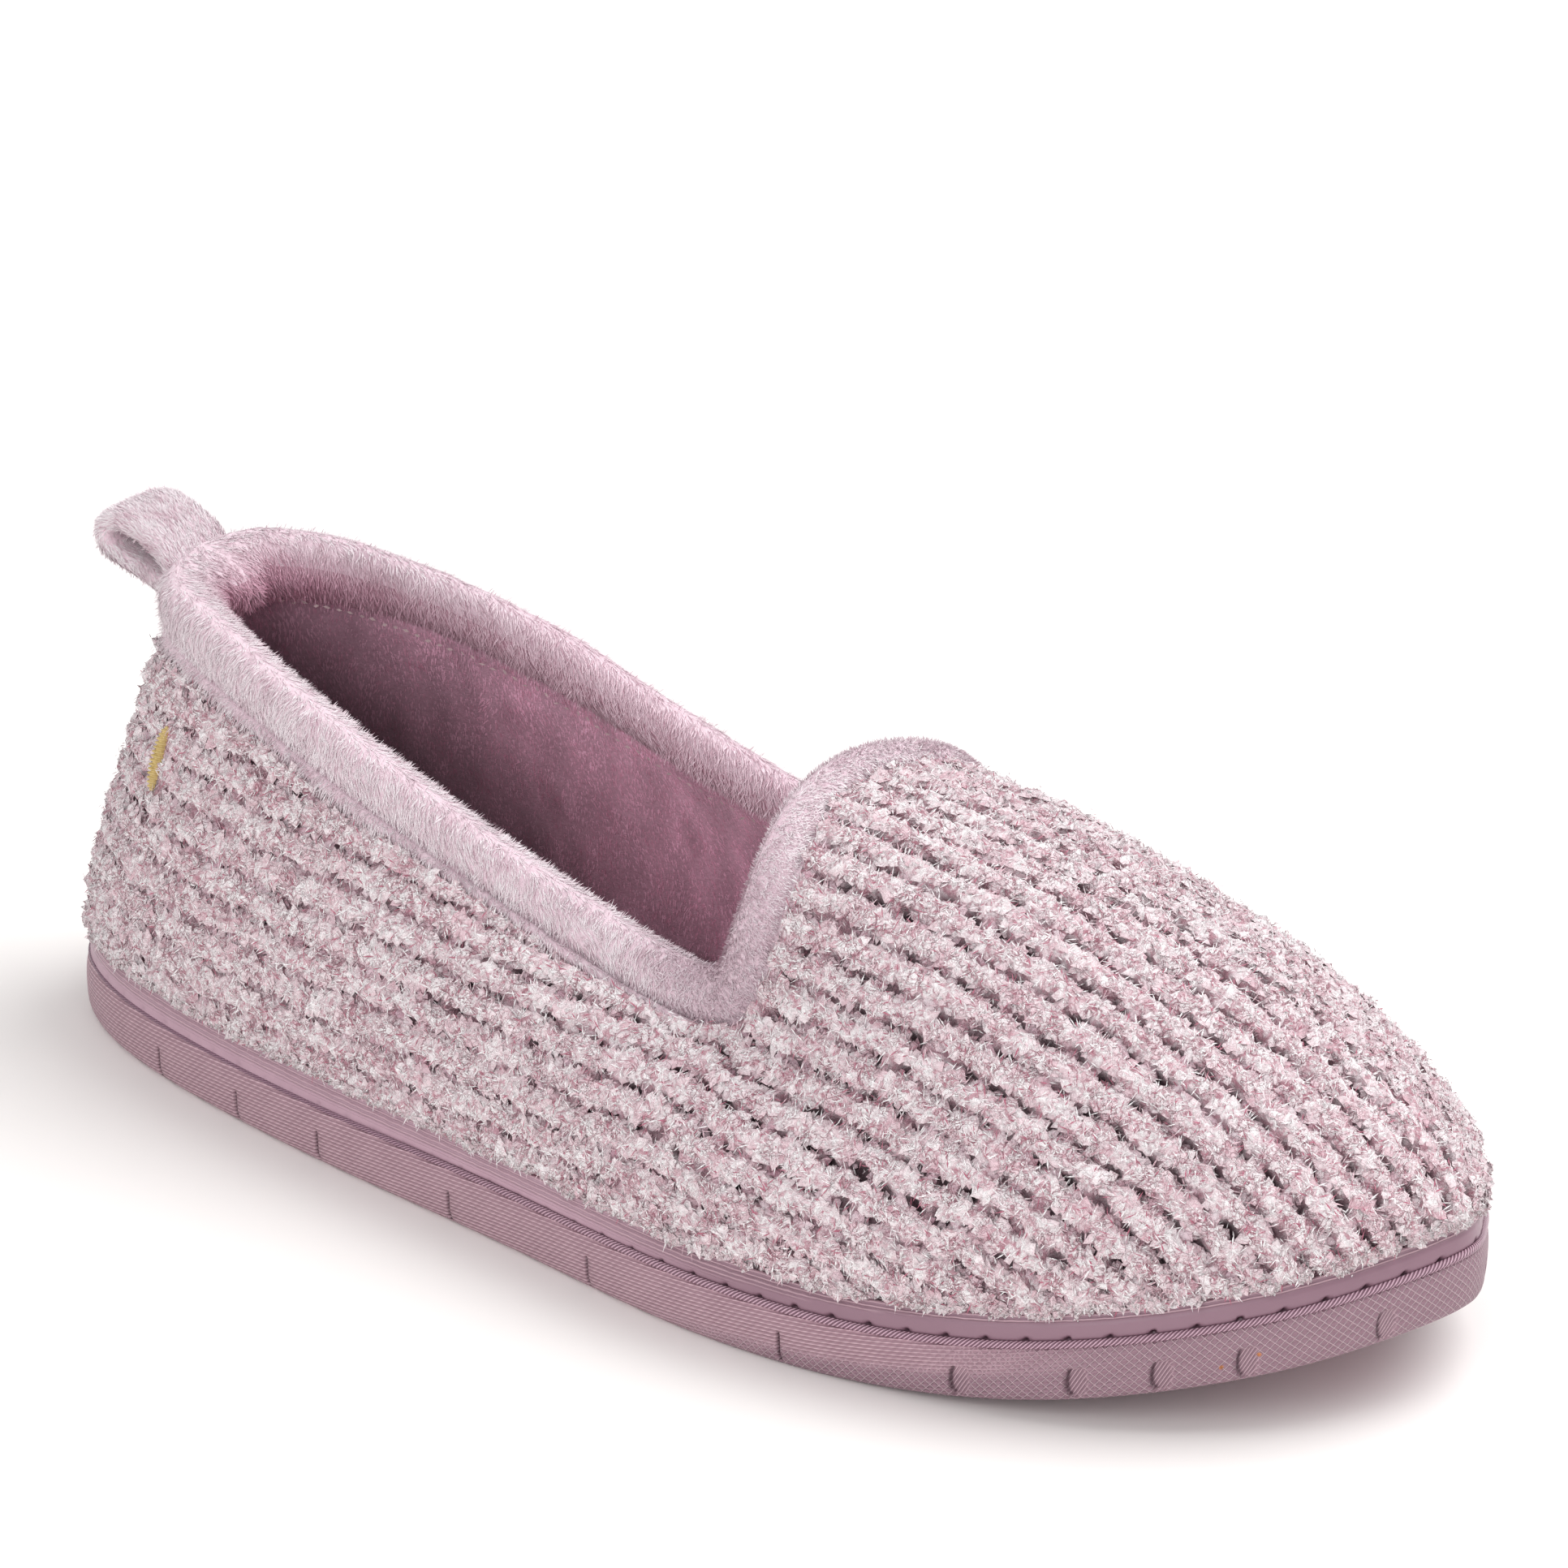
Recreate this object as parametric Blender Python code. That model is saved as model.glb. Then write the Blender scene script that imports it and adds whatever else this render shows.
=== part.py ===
"""Closed-back slip-on slipper for the right foot: moulded sole, insole, knit upper, plush collar and pull loop.

Sizes are in millimetres, heel at x = 0, toe towards +X, the wearer's left towards +Y, up +Z. The finished
meshes are in metres, with the middle of the whole box over the origin and the sole's flats on z = 0.
"""
import bpy
import numpy as np

for old in list(bpy.data.objects):
    bpy.data.objects.remove(old, do_unlink=True)

# Sections from the heel round to the toe. The sole's edge stands "right" and "left" of the middle line at
# sole_x. The top line of the upper stands "half" to both sides at top_x and top_z. The wall leaves the sole
# with a handle "rise" long that leans out by "bulge", and reaches the top line along a handle "roof" long
# that falls away outwards at "slope" degrees.
SECTIONS = (
    # sole_x, right, left, top_x, half, top_z, rise, bulge, roof, slope
    (0.0, 0.0, 0.0, 12.8, 0.0, 71.2, 11.0, 0.12, 22.5, 83.0),
    (2.0, 14.0, 14.0, 14.7, 7.0, 71.2, 11.0, 0.12, 23.0, 82.5),
    (14.0, 25.0, 25.5, 20.4, 12.5, 71.2, 12.5, 0.13, 22.5, 79.0),
    (35.0, 33.0, 33.0, 37.0, 19.0, 69.3, 17.0, 0.14, 18.5, 74.0),
    (71.0, 40.2, 35.5, 65.0, 24.5, 62.5, 21.0, 0.10, 13.0, 72.5),
    (113.0, 45.8, 38.0, 96.0, 25.8, 53.2, 23.0, 0.08, 9.5, 70.0),
    (153.0, 51.2, 43.5, 128.5, 27.5, 45.2, 24.0, 0.10, 10.0, 58.0),
    (189.0, 48.5, 46.0, 140.5, 27.0, 47.8, 25.0, 0.15, 18.0, 43.0),
    (217.0, 40.2, 41.5, 142.5, 24.4, 61.8, 21.5, 0.14, 36.0, 22.0),
    (239.0, 26.0, 29.0, 141.5, 15.2, 69.1, 18.0, 0.10, 48.0, 6.0),
    (249.9, 12.0, 15.8, 140.8, 6.6, 71.0, 17.5, 0.09, 54.0, 2.0),
    (255.0, 0.0, 0.0, 140.6, 0.0, 71.4, 18.0, 0.09, 55.5, 2.0),
)
TOE_SHIFT = 4.0
LENGTH = 255.0
SPRING_START = 170.0
SPRING_RISE = 14.0
ROOF_TURN = 6.0

LIP_HEIGHT = 12.6
LIP_INSET = 1.1
RIM_WIDTH = 3.9
RECESS_FLOOR = 9.0
WAIST_HOLLOW = 1.2
WAIST_SPAN = (78.0, 132.0)
NOTCH_PLACES = (2.88, 3.50, 3.99, 4.69, 5.44, 6.44, 7.33, 7.97, 8.42, 8.91, 10.08)
NOTCH_HALF = 0.7
NOTCH_DEPTH = 0.7
SOLE_STEPS = 40

GAP = 0.3
WALL = 3.5
SPAN_COLUMNS = (4, 4, 4, 4, 4, 4, 7, 7, 4, 4, 4)
OUTER_DROPS = (1.0, 6.3, 11.9, 12.1)
INNER_DROPS = (1.0, 4.8, 8.6)
OUTER_ROWS = 8
INNER_ROWS = 6

INSOLE_THICKNESS = 4.0
INSOLE_COLUMNS = 56

# Section of the collar binding: how far below the top line each point lies along the wall, and how far out
# from the knit's face. It starts at the flat strip's lower edge, goes over the roll and back inside the fold.
# The strip is stitched down hard, so the wall inside the fold is thinner than the knit below it.
BINDING = (
    # drop, out
    (11.5, -1.2),
    (11.2, 0.1),
    (8.4, -0.3),
    (6.6, 0.9),
    (3.2, 2.0),
    (-0.4, 1.9),
    (-3.0, 0.6),
    (-3.9, -1.5),
    (-3.0, -3.8),
    (0.4, -5.6),
    (4.4, -5.7),
    (8.0, -5.1),
    (8.6, -3.9),
    (4.8, -3.9),
    (0.6, -3.9),
    (0.6, -1.2),
    (6.3, -1.2),
)
PRESSED = 1.6

# Middle line of the pull loop's strap in the upright middle plane, from the top of the collar round to its back.
LOOP_PATH = (
    # x, z
    (13.2, 77.05),
    (8.0, 77.7),
    (2.6, 77.4),
    (0.3, 76.8),
    (-0.6, 75.2),
    (0.2, 73.5),
    (2.2, 72.9),
    (6.0, 72.0),
    (10.1, 70.8),
)
LOOP_WIDTH = 14.0
LOOP_THICKNESS = 3.6
LOOP_ROUND = 1.1


def closed_spline(rows, places):
    """Closed cubic through the rows, one row a unit of place, with smooth first and second slopes."""
    rows = np.asarray(rows, float)
    count = len(rows)
    system = 4.0 * np.eye(count) + np.roll(np.eye(count), 1, 0) + np.roll(np.eye(count), -1, 0)
    slopes = np.linalg.solve(system, 3.0 * (np.roll(rows, -1, 0) - np.roll(rows, 1, 0)))
    whole = np.floor(places).astype(int)
    part = (places - whole)[:, None]
    here = whole % count
    there = (whole + 1) % count
    return ((2 * part**3 - 3 * part**2 + 1) * rows[here] + (part**3 - 2 * part**2 + part) * slopes[here]
            + (-2 * part**3 + 3 * part**2) * rows[there] + (part**3 - part**2) * slopes[there])


def round_the_shoe(right, left):
    """Rows for the whole ring: heel, right side, toe, then the left side back to the heel."""
    return np.concatenate([right, left[-2:0:-1]])


TABLE = np.array(SECTIONS)
ROUND = 2 * (len(SECTIONS) - 1)


def edge_ring(places):
    """Sole edge seen from above, and the level direction that points out of it."""
    right = np.column_stack([TABLE[:, 0], -TABLE[:, 1]])
    left = np.column_stack([TABLE[:, 0], TABLE[:, 2]])
    right[-1, 1] = TOE_SHIFT
    rows = round_the_shoe(right, left)
    step = 0.01
    along = closed_spline(rows, places + step) - closed_spline(rows, places - step)
    along /= np.linalg.norm(along, axis=1, keepdims=True)
    return closed_spline(rows, places), np.column_stack([along[:, 1], -along[:, 0]])


def spring(x):
    """Rise of the sole over the ground in front of the ball, growing with the square of the way to the toe."""
    share = np.clip((x - SPRING_START) / (LENGTH - SPRING_START), 0.0, None)
    return SPRING_RISE * share**2


def sole_ring(places, inset, height):
    """Ring inside the sole's edge by inset, at a height over the sole's own bottom."""
    edge, out = edge_ring(places)
    inner = edge - np.reshape(inset, (-1, 1)) * out
    return np.column_stack([inner, height + spring(edge[:, 0])])


def wall_lines(places):
    """Four guide points of each line of the upper's face, from the lip of the sole to the top line."""
    foot = sole_ring(places, LIP_INSET, LIP_HEIGHT + GAP)
    right = np.column_stack([TABLE[:, 3], -TABLE[:, 4], TABLE[:, 5]])
    left = right * (1.0, -1.0, 1.0)
    top = closed_spline(round_the_shoe(right, left), places)
    handles = closed_spline(round_the_shoe(TABLE[:, 6:], TABLE[:, 6:]), places)
    rise, bulge, roof, slope = handles.T[:, :, None]
    out = np.column_stack([edge_ring(places)[1], np.zeros(len(places))])
    away = (foot - top) * (1.0, 1.0, 0.0) + ROOF_TURN * out
    away /= np.linalg.norm(away, axis=1, keepdims=True)
    up = np.array([0.0, 0.0, 1.0])
    slope = np.radians(slope)
    lower = foot + rise * (up + bulge * out)
    upper = top + roof * (np.cos(slope) * away - np.sin(slope) * up)
    return foot, lower, upper, top


def face(places, shares):
    """Points of the upper's outer face: each line is a cubic from the sole (share 0) to the top line (share 1)."""
    foot, lower, upper, top = wall_lines(places)
    share = np.reshape(shares, (-1, len(places), 1))
    rest = 1.0 - share
    return rest**3 * foot + 3 * share * rest**2 * lower + 3 * share**2 * rest * upper + share**3 * top


def face_normals(places, shares):
    """Outward directions of the upper's face, from its slopes along and up the wall."""
    shares = np.reshape(shares, (-1, len(places)))
    step = 0.004
    low = np.clip(shares, step, 1.0 - step)
    along = face(places + step, low) - face(places - step, low)
    up = face(places, low + step) - face(places, low - step)
    normal = np.cross(along, up)
    return normal / np.linalg.norm(normal, axis=2, keepdims=True)


def share_at_drop(places, drop):
    """Share of each line that lies a given way below the top line, measured along the face."""
    shares = np.linspace(1.0, 0.0, 161)
    line = face(places, np.repeat(shares[:, None], len(places), 1))
    length = np.zeros(line.shape[:2])
    length[1:] = np.cumsum(np.linalg.norm(np.diff(line, axis=0), axis=2), 0)
    return np.array([np.interp(drop, length[:, k], shares) for k in range(len(places))])


def off_face(places, drop, out):
    """Ring below the top line by drop and out from the face; a drop below zero goes on straight past the top."""
    shares = share_at_drop(places, max(drop, 0.0))
    ring = face(places, shares)[0] + out * face_normals(places, shares)[0]
    if drop < 0.0:
        end = np.ones(len(places))
        rising = face(places, end)[0] - face(places, end - 0.01)[0]
        rising /= np.linalg.norm(rising, axis=1, keepdims=True)
        ring -= drop * rising
    return ring


def spread(count):
    """Places evenly round the shoe."""
    return np.arange(count) * ROUND / count


def skin_rings(rings):
    """Faces between neighbouring rings of equal count, numbered ring after ring."""
    count = len(rings[0])
    faces = []
    for level in range(len(rings) - 1):
        for k in range(count):
            after = (k + 1) % count
            low = level * count
            faces.append((low + k, low + after, low + count + after, low + count + k))
    return faces


def ladder(first, count, turned):
    """Rungs across a ring whose members k and count - k lie opposite each other."""
    faces = []
    for k in range(count // 2):
        opposite = count - k
        rung = [first + k, first + k + 1, first + (opposite - 1) % count, first + opposite % count]
        loop = list(dict.fromkeys(rung))
        faces.append(tuple(loop if turned else loop[::-1]))
    return faces


PIECES = []


def make_piece(name, points, faces, colour, roughness):
    """Named mesh object with its own plain material."""
    mesh = bpy.data.meshes.new(name)
    mesh.from_pydata([tuple(p) for p in np.asarray(points) * 0.001], [], faces)
    mesh.validate()
    for polygon in mesh.polygons:
        polygon.use_smooth = True
    material = bpy.data.materials.new(name)
    material.use_nodes = True
    shader = material.node_tree.nodes["Principled BSDF"]
    shader.inputs["Base Color"].default_value = (*colour, 1.0)
    shader.inputs["Roughness"].default_value = roughness
    mesh.materials.append(material)
    piece = bpy.data.objects.new(name, mesh)
    bpy.context.scene.collection.objects.link(piece)
    PIECES.append(piece)


# Sole: rings from the hollow under the waist, round the side wall and the rope's seat, to the insole's recess.
half_places = np.linspace(0.0, ROUND / 2, SOLE_STEPS + 1)
edge_speed = np.linalg.norm(np.diff(edge_ring(np.linspace(0, ROUND / 2, 1101))[0], axis=0), axis=1) * 100.0
notch_width = NOTCH_HALF / np.interp(NOTCH_PLACES, np.linspace(0.005, 10.995, 1100), edge_speed)
clear = np.abs(half_places[:, None] - np.array(NOTCH_PLACES)).min(1) > 2.2 * notch_width.max()
cuts = [np.array(NOTCH_PLACES) + shift * notch_width for shift in (-1.0, -0.55, 0.55, 1.0)]
half_places = np.sort(np.concatenate([half_places[clear], *cuts]))
sole_places = np.concatenate([half_places, ROUND - half_places[-2:0:-1]])
mirrored = np.minimum(sole_places, ROUND - sole_places)
nearest = np.abs(mirrored[:, None] - np.array(NOTCH_PLACES))
in_notch = (nearest < 0.8 * notch_width).any(1)
edge_x = edge_ring(sole_places)[0][:, 0]
waist = np.clip((edge_x - WAIST_SPAN[0]) / (WAIST_SPAN[1] - WAIST_SPAN[0]), 0.0, 1.0)
hollow = WAIST_HOLLOW * np.sin(np.pi * waist) ** 2
cut = NOTCH_DEPTH * in_notch
sole_rings = [
    sole_ring(sole_places, 9.0, hollow),
    sole_ring(sole_places, 6.0, 0.0),
    sole_ring(sole_places, 2.0 + 0.4 * cut, 0.0),
    sole_ring(sole_places, 0.7 + cut, 0.8),
    sole_ring(sole_places, 0.15 + cut, 2.4),
    sole_ring(sole_places, 0.0 + cut, 5.4),
    sole_ring(sole_places, 0.0, 6.2),
    sole_ring(sole_places, 0.3, 8.6),
    sole_ring(sole_places, 1.3, 9.1),
    sole_ring(sole_places, 0.8, 9.9),
    sole_ring(sole_places, LIP_INSET, LIP_HEIGHT),
    sole_ring(sole_places, LIP_INSET + RIM_WIDTH, LIP_HEIGHT),
    sole_ring(sole_places, LIP_INSET + RIM_WIDTH + 0.2, RECESS_FLOOR),
]
sole_count = len(sole_places)
sole_faces = skin_rings(sole_rings)
sole_faces += ladder(0, sole_count, False)
sole_faces += ladder((len(sole_rings) - 1) * sole_count, sole_count, True)
make_piece("sole", np.concatenate(sole_rings), sole_faces, (0.36, 0.22, 0.29), 0.6)

# Insole: padded plate that fills the recess and follows the toe's rise.
insole_places = spread(INSOLE_COLUMNS)
insole_edge = LIP_INSET + RIM_WIDTH + 0.2 + GAP
insole_foot = RECESS_FLOOR + GAP
insole_rings = [
    sole_ring(insole_places, insole_edge + 0.8, insole_foot),
    sole_ring(insole_places, insole_edge, insole_foot + 0.9),
    sole_ring(insole_places, insole_edge, insole_foot + INSOLE_THICKNESS - 1.4),
    sole_ring(insole_places, insole_edge + 1.5, insole_foot + INSOLE_THICKNESS),
]
insole_faces = skin_rings(insole_rings)
insole_faces += ladder(0, INSOLE_COLUMNS, False)
insole_faces += ladder(3 * INSOLE_COLUMNS, INSOLE_COLUMNS, True)
make_piece("insole", np.concatenate(insole_rings), insole_faces, (0.55, 0.40, 0.47), 0.9)

# Upper: outer face from the sole's lip to just under the roll of the binding, and the lining's face inside it.
steps = np.repeat(1.0 / np.array(SPAN_COLUMNS), SPAN_COLUMNS)
half_ring = np.concatenate([[0.0], np.cumsum(steps)])
ring_places = np.concatenate([half_ring, ROUND - half_ring[-2:0:-1]])
columns = len(ring_places)
outer_end = share_at_drop(ring_places, OUTER_DROPS[-1])
inner_end = share_at_drop(ring_places, INNER_DROPS[-1])
outer_shares = [level * outer_end for level in np.linspace(0.0, 1.0, OUTER_ROWS)]
upper_rings = [face(ring_places, share)[0] for share in outer_shares]
upper_rings += [off_face(ring_places, drop, -PRESSED) for drop in OUTER_DROPS[-2::-1]]
upper_rings += [off_face(ring_places, drop, -WALL) for drop in INNER_DROPS[:-1]]
for level in np.linspace(1.0, 0.0, INNER_ROWS):
    share = level * inner_end
    upper_rings.append(face(ring_places, share)[0] - WALL * face_normals(ring_places, share)[0])
upper_members = columns * len(upper_rings)
upper_faces = [tuple(k % upper_members for k in loop) for loop in skin_rings(upper_rings + upper_rings[:1])]
make_piece("upper", np.concatenate(upper_rings), upper_faces, (0.70, 0.55, 0.60), 0.95)

# Collar binding: the folded band's section carried round the top line on the upper's own face.
binding_rings = [off_face(ring_places, drop, out) for drop, out in BINDING]
binding_members = columns * len(BINDING)
binding_faces = [tuple(k % binding_members for k in loop) for loop in skin_rings(binding_rings + binding_rings[:1])]
make_piece("collar_binding", np.concatenate(binding_rings), binding_faces, (0.72, 0.58, 0.66), 0.9)

# Pull loop: rounded flat strap carried along its middle line, square to it at every stop.
loop_line = np.array(LOOP_PATH)
loop_along = np.gradient(loop_line, axis=0)
loop_along /= np.linalg.norm(loop_along, axis=1, keepdims=True)
loop_out = np.column_stack([-loop_along[:, 1], loop_along[:, 0]])
half_width = LOOP_WIDTH / 2
half_thick = LOOP_THICKNESS / 2
strap = []
for side, level in ((-1, -1), (1, -1), (1, 1), (-1, 1)):
    corner_side = side * (half_width - LOOP_ROUND)
    corner_level = level * (half_thick - LOOP_ROUND)
    first = (side * half_width, corner_level)
    second = (corner_side, level * half_thick)
    strap += [first, second] if side * level > 0 else [second, first]
loop_rings = []
for stop, out in zip(loop_line, loop_out):
    loop_rings.append([(stop[0] + level * out[0], side, stop[1] + level * out[1]) for side, level in strap])
loop_faces = skin_rings(loop_rings)
strap_count = len(strap)
loop_end = (len(loop_rings) - 1) * strap_count
loop_faces.append(tuple(range(strap_count))[::-1])
loop_faces.append(tuple(range(loop_end, loop_end + strap_count)))
make_piece("pull_loop", np.concatenate(loop_rings), loop_faces, (0.70, 0.56, 0.64), 0.9)

# Whole shoe: middle of its box over the origin.
everything = np.concatenate([[tuple(v.co) for v in piece.data.vertices] for piece in PIECES])
middle = (everything.min(0) + everything.max(0)) / 2
for piece in PIECES:
    for vertex in piece.data.vertices:
        vertex.co.x -= middle[0]
        vertex.co.y -= middle[1]
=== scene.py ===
"""Slip-on slipper for the right foot: moulded sole with a rope, insole, chenille rib knit, plush lining,
collar binding and pull loop. Sizes are in millimetres, heel at x = 0, toe towards +X, up +Z; each
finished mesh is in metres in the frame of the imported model.
"""
import bpy
import numpy as np
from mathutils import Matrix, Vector


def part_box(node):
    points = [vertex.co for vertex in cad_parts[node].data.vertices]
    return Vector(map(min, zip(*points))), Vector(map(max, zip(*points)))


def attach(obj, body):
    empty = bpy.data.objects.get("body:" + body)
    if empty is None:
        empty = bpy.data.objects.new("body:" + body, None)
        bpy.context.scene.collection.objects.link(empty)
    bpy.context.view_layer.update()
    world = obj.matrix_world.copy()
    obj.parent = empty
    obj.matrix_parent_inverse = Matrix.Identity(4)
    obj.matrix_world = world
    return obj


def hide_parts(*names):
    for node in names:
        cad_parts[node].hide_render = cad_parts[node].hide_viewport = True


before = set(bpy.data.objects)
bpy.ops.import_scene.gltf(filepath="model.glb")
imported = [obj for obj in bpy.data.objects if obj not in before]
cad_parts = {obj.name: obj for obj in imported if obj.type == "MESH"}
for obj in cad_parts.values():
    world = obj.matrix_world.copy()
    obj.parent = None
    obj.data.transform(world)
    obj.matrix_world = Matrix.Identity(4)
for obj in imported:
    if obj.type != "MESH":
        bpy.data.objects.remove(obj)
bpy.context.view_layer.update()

# Sole: one moulded rubber piece in mauve with toe spring. Its side wall has a woven-looking grain and a
# ring of short cuts, and above the rope's seat a smooth strip stands up as the lip that holds the upper.
SECTIONS = np.array((
    # sole_x, right, left, top_x, half, top_z, rise, bulge, roof, slope
    (0.0, 0.0, 0.0, 12.8, 0.0, 71.2, 11.0, 0.12, 22.5, 83.0),
    (2.0, 14.0, 14.0, 14.7, 7.0, 71.2, 11.0, 0.12, 23.0, 82.5),
    (14.0, 25.0, 25.5, 20.4, 12.5, 71.2, 12.5, 0.13, 22.5, 79.0),
    (35.0, 33.0, 33.0, 37.0, 19.0, 69.3, 17.0, 0.14, 18.5, 74.0),
    (71.0, 40.2, 35.5, 65.0, 24.5, 62.5, 21.0, 0.10, 13.0, 72.5),
    (113.0, 45.8, 38.0, 96.0, 25.8, 53.2, 23.0, 0.08, 9.5, 70.0),
    (153.0, 51.2, 43.5, 128.5, 27.5, 45.2, 24.0, 0.10, 10.0, 58.0),
    (189.0, 48.5, 46.0, 140.5, 27.0, 47.8, 25.0, 0.15, 18.0, 43.0),
    (217.0, 40.2, 41.5, 142.5, 24.4, 61.8, 21.5, 0.14, 36.0, 22.0),
    (239.0, 26.0, 29.0, 141.5, 15.2, 69.1, 18.0, 0.10, 48.0, 6.0),
    (249.9, 12.0, 15.8, 140.8, 6.6, 71.0, 17.5, 0.09, 54.0, 2.0),
    (255.0, 0.0, 0.0, 140.6, 0.0, 71.4, 18.0, 0.09, 55.5, 2.0),
))
HALF_ROUND = len(SECTIONS) - 1
ROUND = 2 * HALF_ROUND
TOE_SHIFT = 4.0
LENGTH = 255.0
SPRING_START = 170.0
SPRING_RISE = 14.0
WAIST_HOLLOW = 1.2
WAIST_SPAN = (78.0, 132.0)
CUT_PLACES = (2.88, 3.50, 3.99, 4.69, 5.44, 6.44, 7.33, 7.97, 8.42, 8.91, 10.08)
FIRST_WINDOW = 6
WINDOW_WIDTH = 2.4
CUT_TOP = 5.7
HOLE_STEP = 6.4
HOLE_HEIGHT = 10.05
HOLE_REACH = (0.55, 0.34)
HOLE_DEPTH = 0.9
ROPE_HEIGHT = 9.3
ROPE_GROWS = (50.0, 140.0)
WALL_TOP = 8.9
COLUMN_STEP = 0.64
CLOSE_STEPS = np.linspace(-0.6, 3.0, 20)
DIAMOND_TURN = 0.82
SPECKS = ((265.2, 4.1), (259.7, 3.2))
SPECK_RADIUS = 0.45
SOLE_PROFILE = np.array((
    # inset, height over the sole's own bottom
    (9.0, 0.0), (6.0, 0.0), (2.2, 0.0), (1.3, 0.12), (0.75, 0.6), (0.42, 1.2), (0.25, 1.8), (0.15, 2.4),
    (0.11, 3.0), (0.07, 3.6), (0.04, 4.2), (0.01, 4.8), (0.0, 5.3), (0.0, 5.7), (0.0, 6.1), (0.04, 6.8),
    (0.12, 7.5), (0.22, 8.1), (0.34, 8.5), (0.6, 8.8), (1.1, 8.98), (1.4, 9.15), (1.4, 9.45), (1.15, 9.7),
    (0.86, 9.85), (0.73, 10.1), (0.70, 10.4), (0.73, 10.8), (0.8, 11.3), (0.9, 11.8), (0.95, 12.3),
    (1.12, 12.5), (1.02, 12.75), (1.05, 13.3), (1.2, 13.75), (1.5, 13.85), (1.8, 13.6), (1.9, 12.6),
    (5.0, 12.6), (5.2, 9.0),
))


def cubic(part, start, start_slope, end, end_slope):
    """Cubic from start to end with the given slopes, as part goes from 0 to 1."""
    return ((2 * part**3 - 3 * part**2 + 1) * start + (part**3 - 2 * part**2 + part) * start_slope
            + (-2 * part**3 + 3 * part**2) * end + (part**3 - part**2) * end_slope)


def closed_spline(rows, places):
    """Closed cubic through the rows, one row a unit of place, with smooth first and second slopes."""
    rows = np.asarray(rows, float)
    count = len(rows)
    system = 4.0 * np.eye(count) + np.roll(np.eye(count), 1, 0) + np.roll(np.eye(count), -1, 0)
    slopes = np.linalg.solve(system, 3.0 * (np.roll(rows, -1, 0) - np.roll(rows, 1, 0)))
    whole = np.floor(places).astype(int)
    here = whole % count
    there = (whole + 1) % count
    return cubic((places - whole)[:, None], rows[here], slopes[here], rows[there], slopes[there])


def round_the_shoe(right, left):
    """Rows for the whole ring: heel, right side, toe, then the left side back to the heel."""
    return np.concatenate([right, left[-2:0:-1]])


def edge_ring(places):
    """Sole edge seen from above, and the level direction that points out of it."""
    right = np.column_stack([SECTIONS[:, 0], -SECTIONS[:, 1]])
    right[-1, 1] = TOE_SHIFT
    rows = round_the_shoe(right, SECTIONS[:, (0, 2)])
    step = 0.01
    along = closed_spline(rows, places + step) - closed_spline(rows, places - step)
    along /= np.linalg.norm(along, axis=1, keepdims=True)
    return closed_spline(rows, places), np.column_stack([along[:, 1], -along[:, 0]])


def sole_ring(places, inset, height):
    """Ring inside the sole's edge by inset, at a height over the sole's own bottom.

    The bottom rises in front of the ball with the square of the way to the toe.
    """
    edge, out = edge_ring(places)
    inner = edge - np.reshape(inset, (-1, 1)) * out
    spring = np.clip((edge[:, 0] - SPRING_START) / (LENGTH - SPRING_START), 0.0, None)
    return np.column_stack([inner, height + SPRING_RISE * spring**2])


def ease(value, low, high):
    """Smooth step from 0 at low to 1 at high."""
    share = np.clip((value - low) / (high - low), 0.0, 1.0)
    return share * share * (3.0 - 2.0 * share)


def running(steps):
    """Sums of the steps so far, starting from zero."""
    return np.concatenate([np.zeros_like(steps[:1]), np.cumsum(steps, 0)])


def step_lengths(points):
    """Distances from each row of points to the next."""
    return np.linalg.norm(np.diff(points, axis=0), axis=-1)


def arc(points):
    """Length along the rows of points from the first."""
    return running(step_lengths(points))


def mirrored_places(half):
    """Places of the right side from heel to toe, and the same places back along the left side."""
    return np.concatenate([half, ROUND - half[-2:0:-1]])


def corners(rows, columns, rows_meet=False):
    """Row and column numbers of the four corners of each quad on a grid whose columns run round and meet."""
    row, column = np.mgrid[0:rows if rows_meet else rows - 1, 0:columns]
    corner_rows = np.stack([row, row, row + 1, row + 1], -1).reshape(-1, 4)
    return corner_rows, np.stack([column, column + 1, column + 1, column], -1).reshape(-1, 4)


def ring_quads(rows, columns, rows_meet=False):
    """Point numbers of the quads on such a grid."""
    corner_rows, corner_columns = corners(rows, columns, rows_meet)
    return corner_rows % rows * columns + corner_columns % columns


def plate(ring, first, next_free, across, turned):
    """Plate inside a ring: straight rungs between opposite members, in equal steps, and a fan at each tip."""
    count = len(ring)
    near = np.arange(1, count // 2)
    share = np.linspace(0.0, 1.0, across + 1)[1:-1, None]
    points = (1.0 - share) * ring[near][:, None] + share * ring[count - near][:, None]
    numbers = next_free + np.arange(points.shape[0] * points.shape[1]).reshape(points.shape[:2])
    numbers = np.column_stack([first + near, numbers, first + count - near])
    quads = np.stack([numbers[:-1, :-1], numbers[:-1, 1:], numbers[1:, 1:], numbers[1:, :-1]], -1)
    heel = np.column_stack([np.full(across, first), numbers[0, 1:], numbers[0, :-1]])
    toe = np.column_stack([np.full(across, first + count // 2), numbers[-1, :-1], numbers[-1, 1:]])
    faces = quads.reshape(-1, 4).tolist() + heel.tolist() + toe.tolist()
    return points, [face[::-1] for face in faces] if turned else faces


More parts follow.
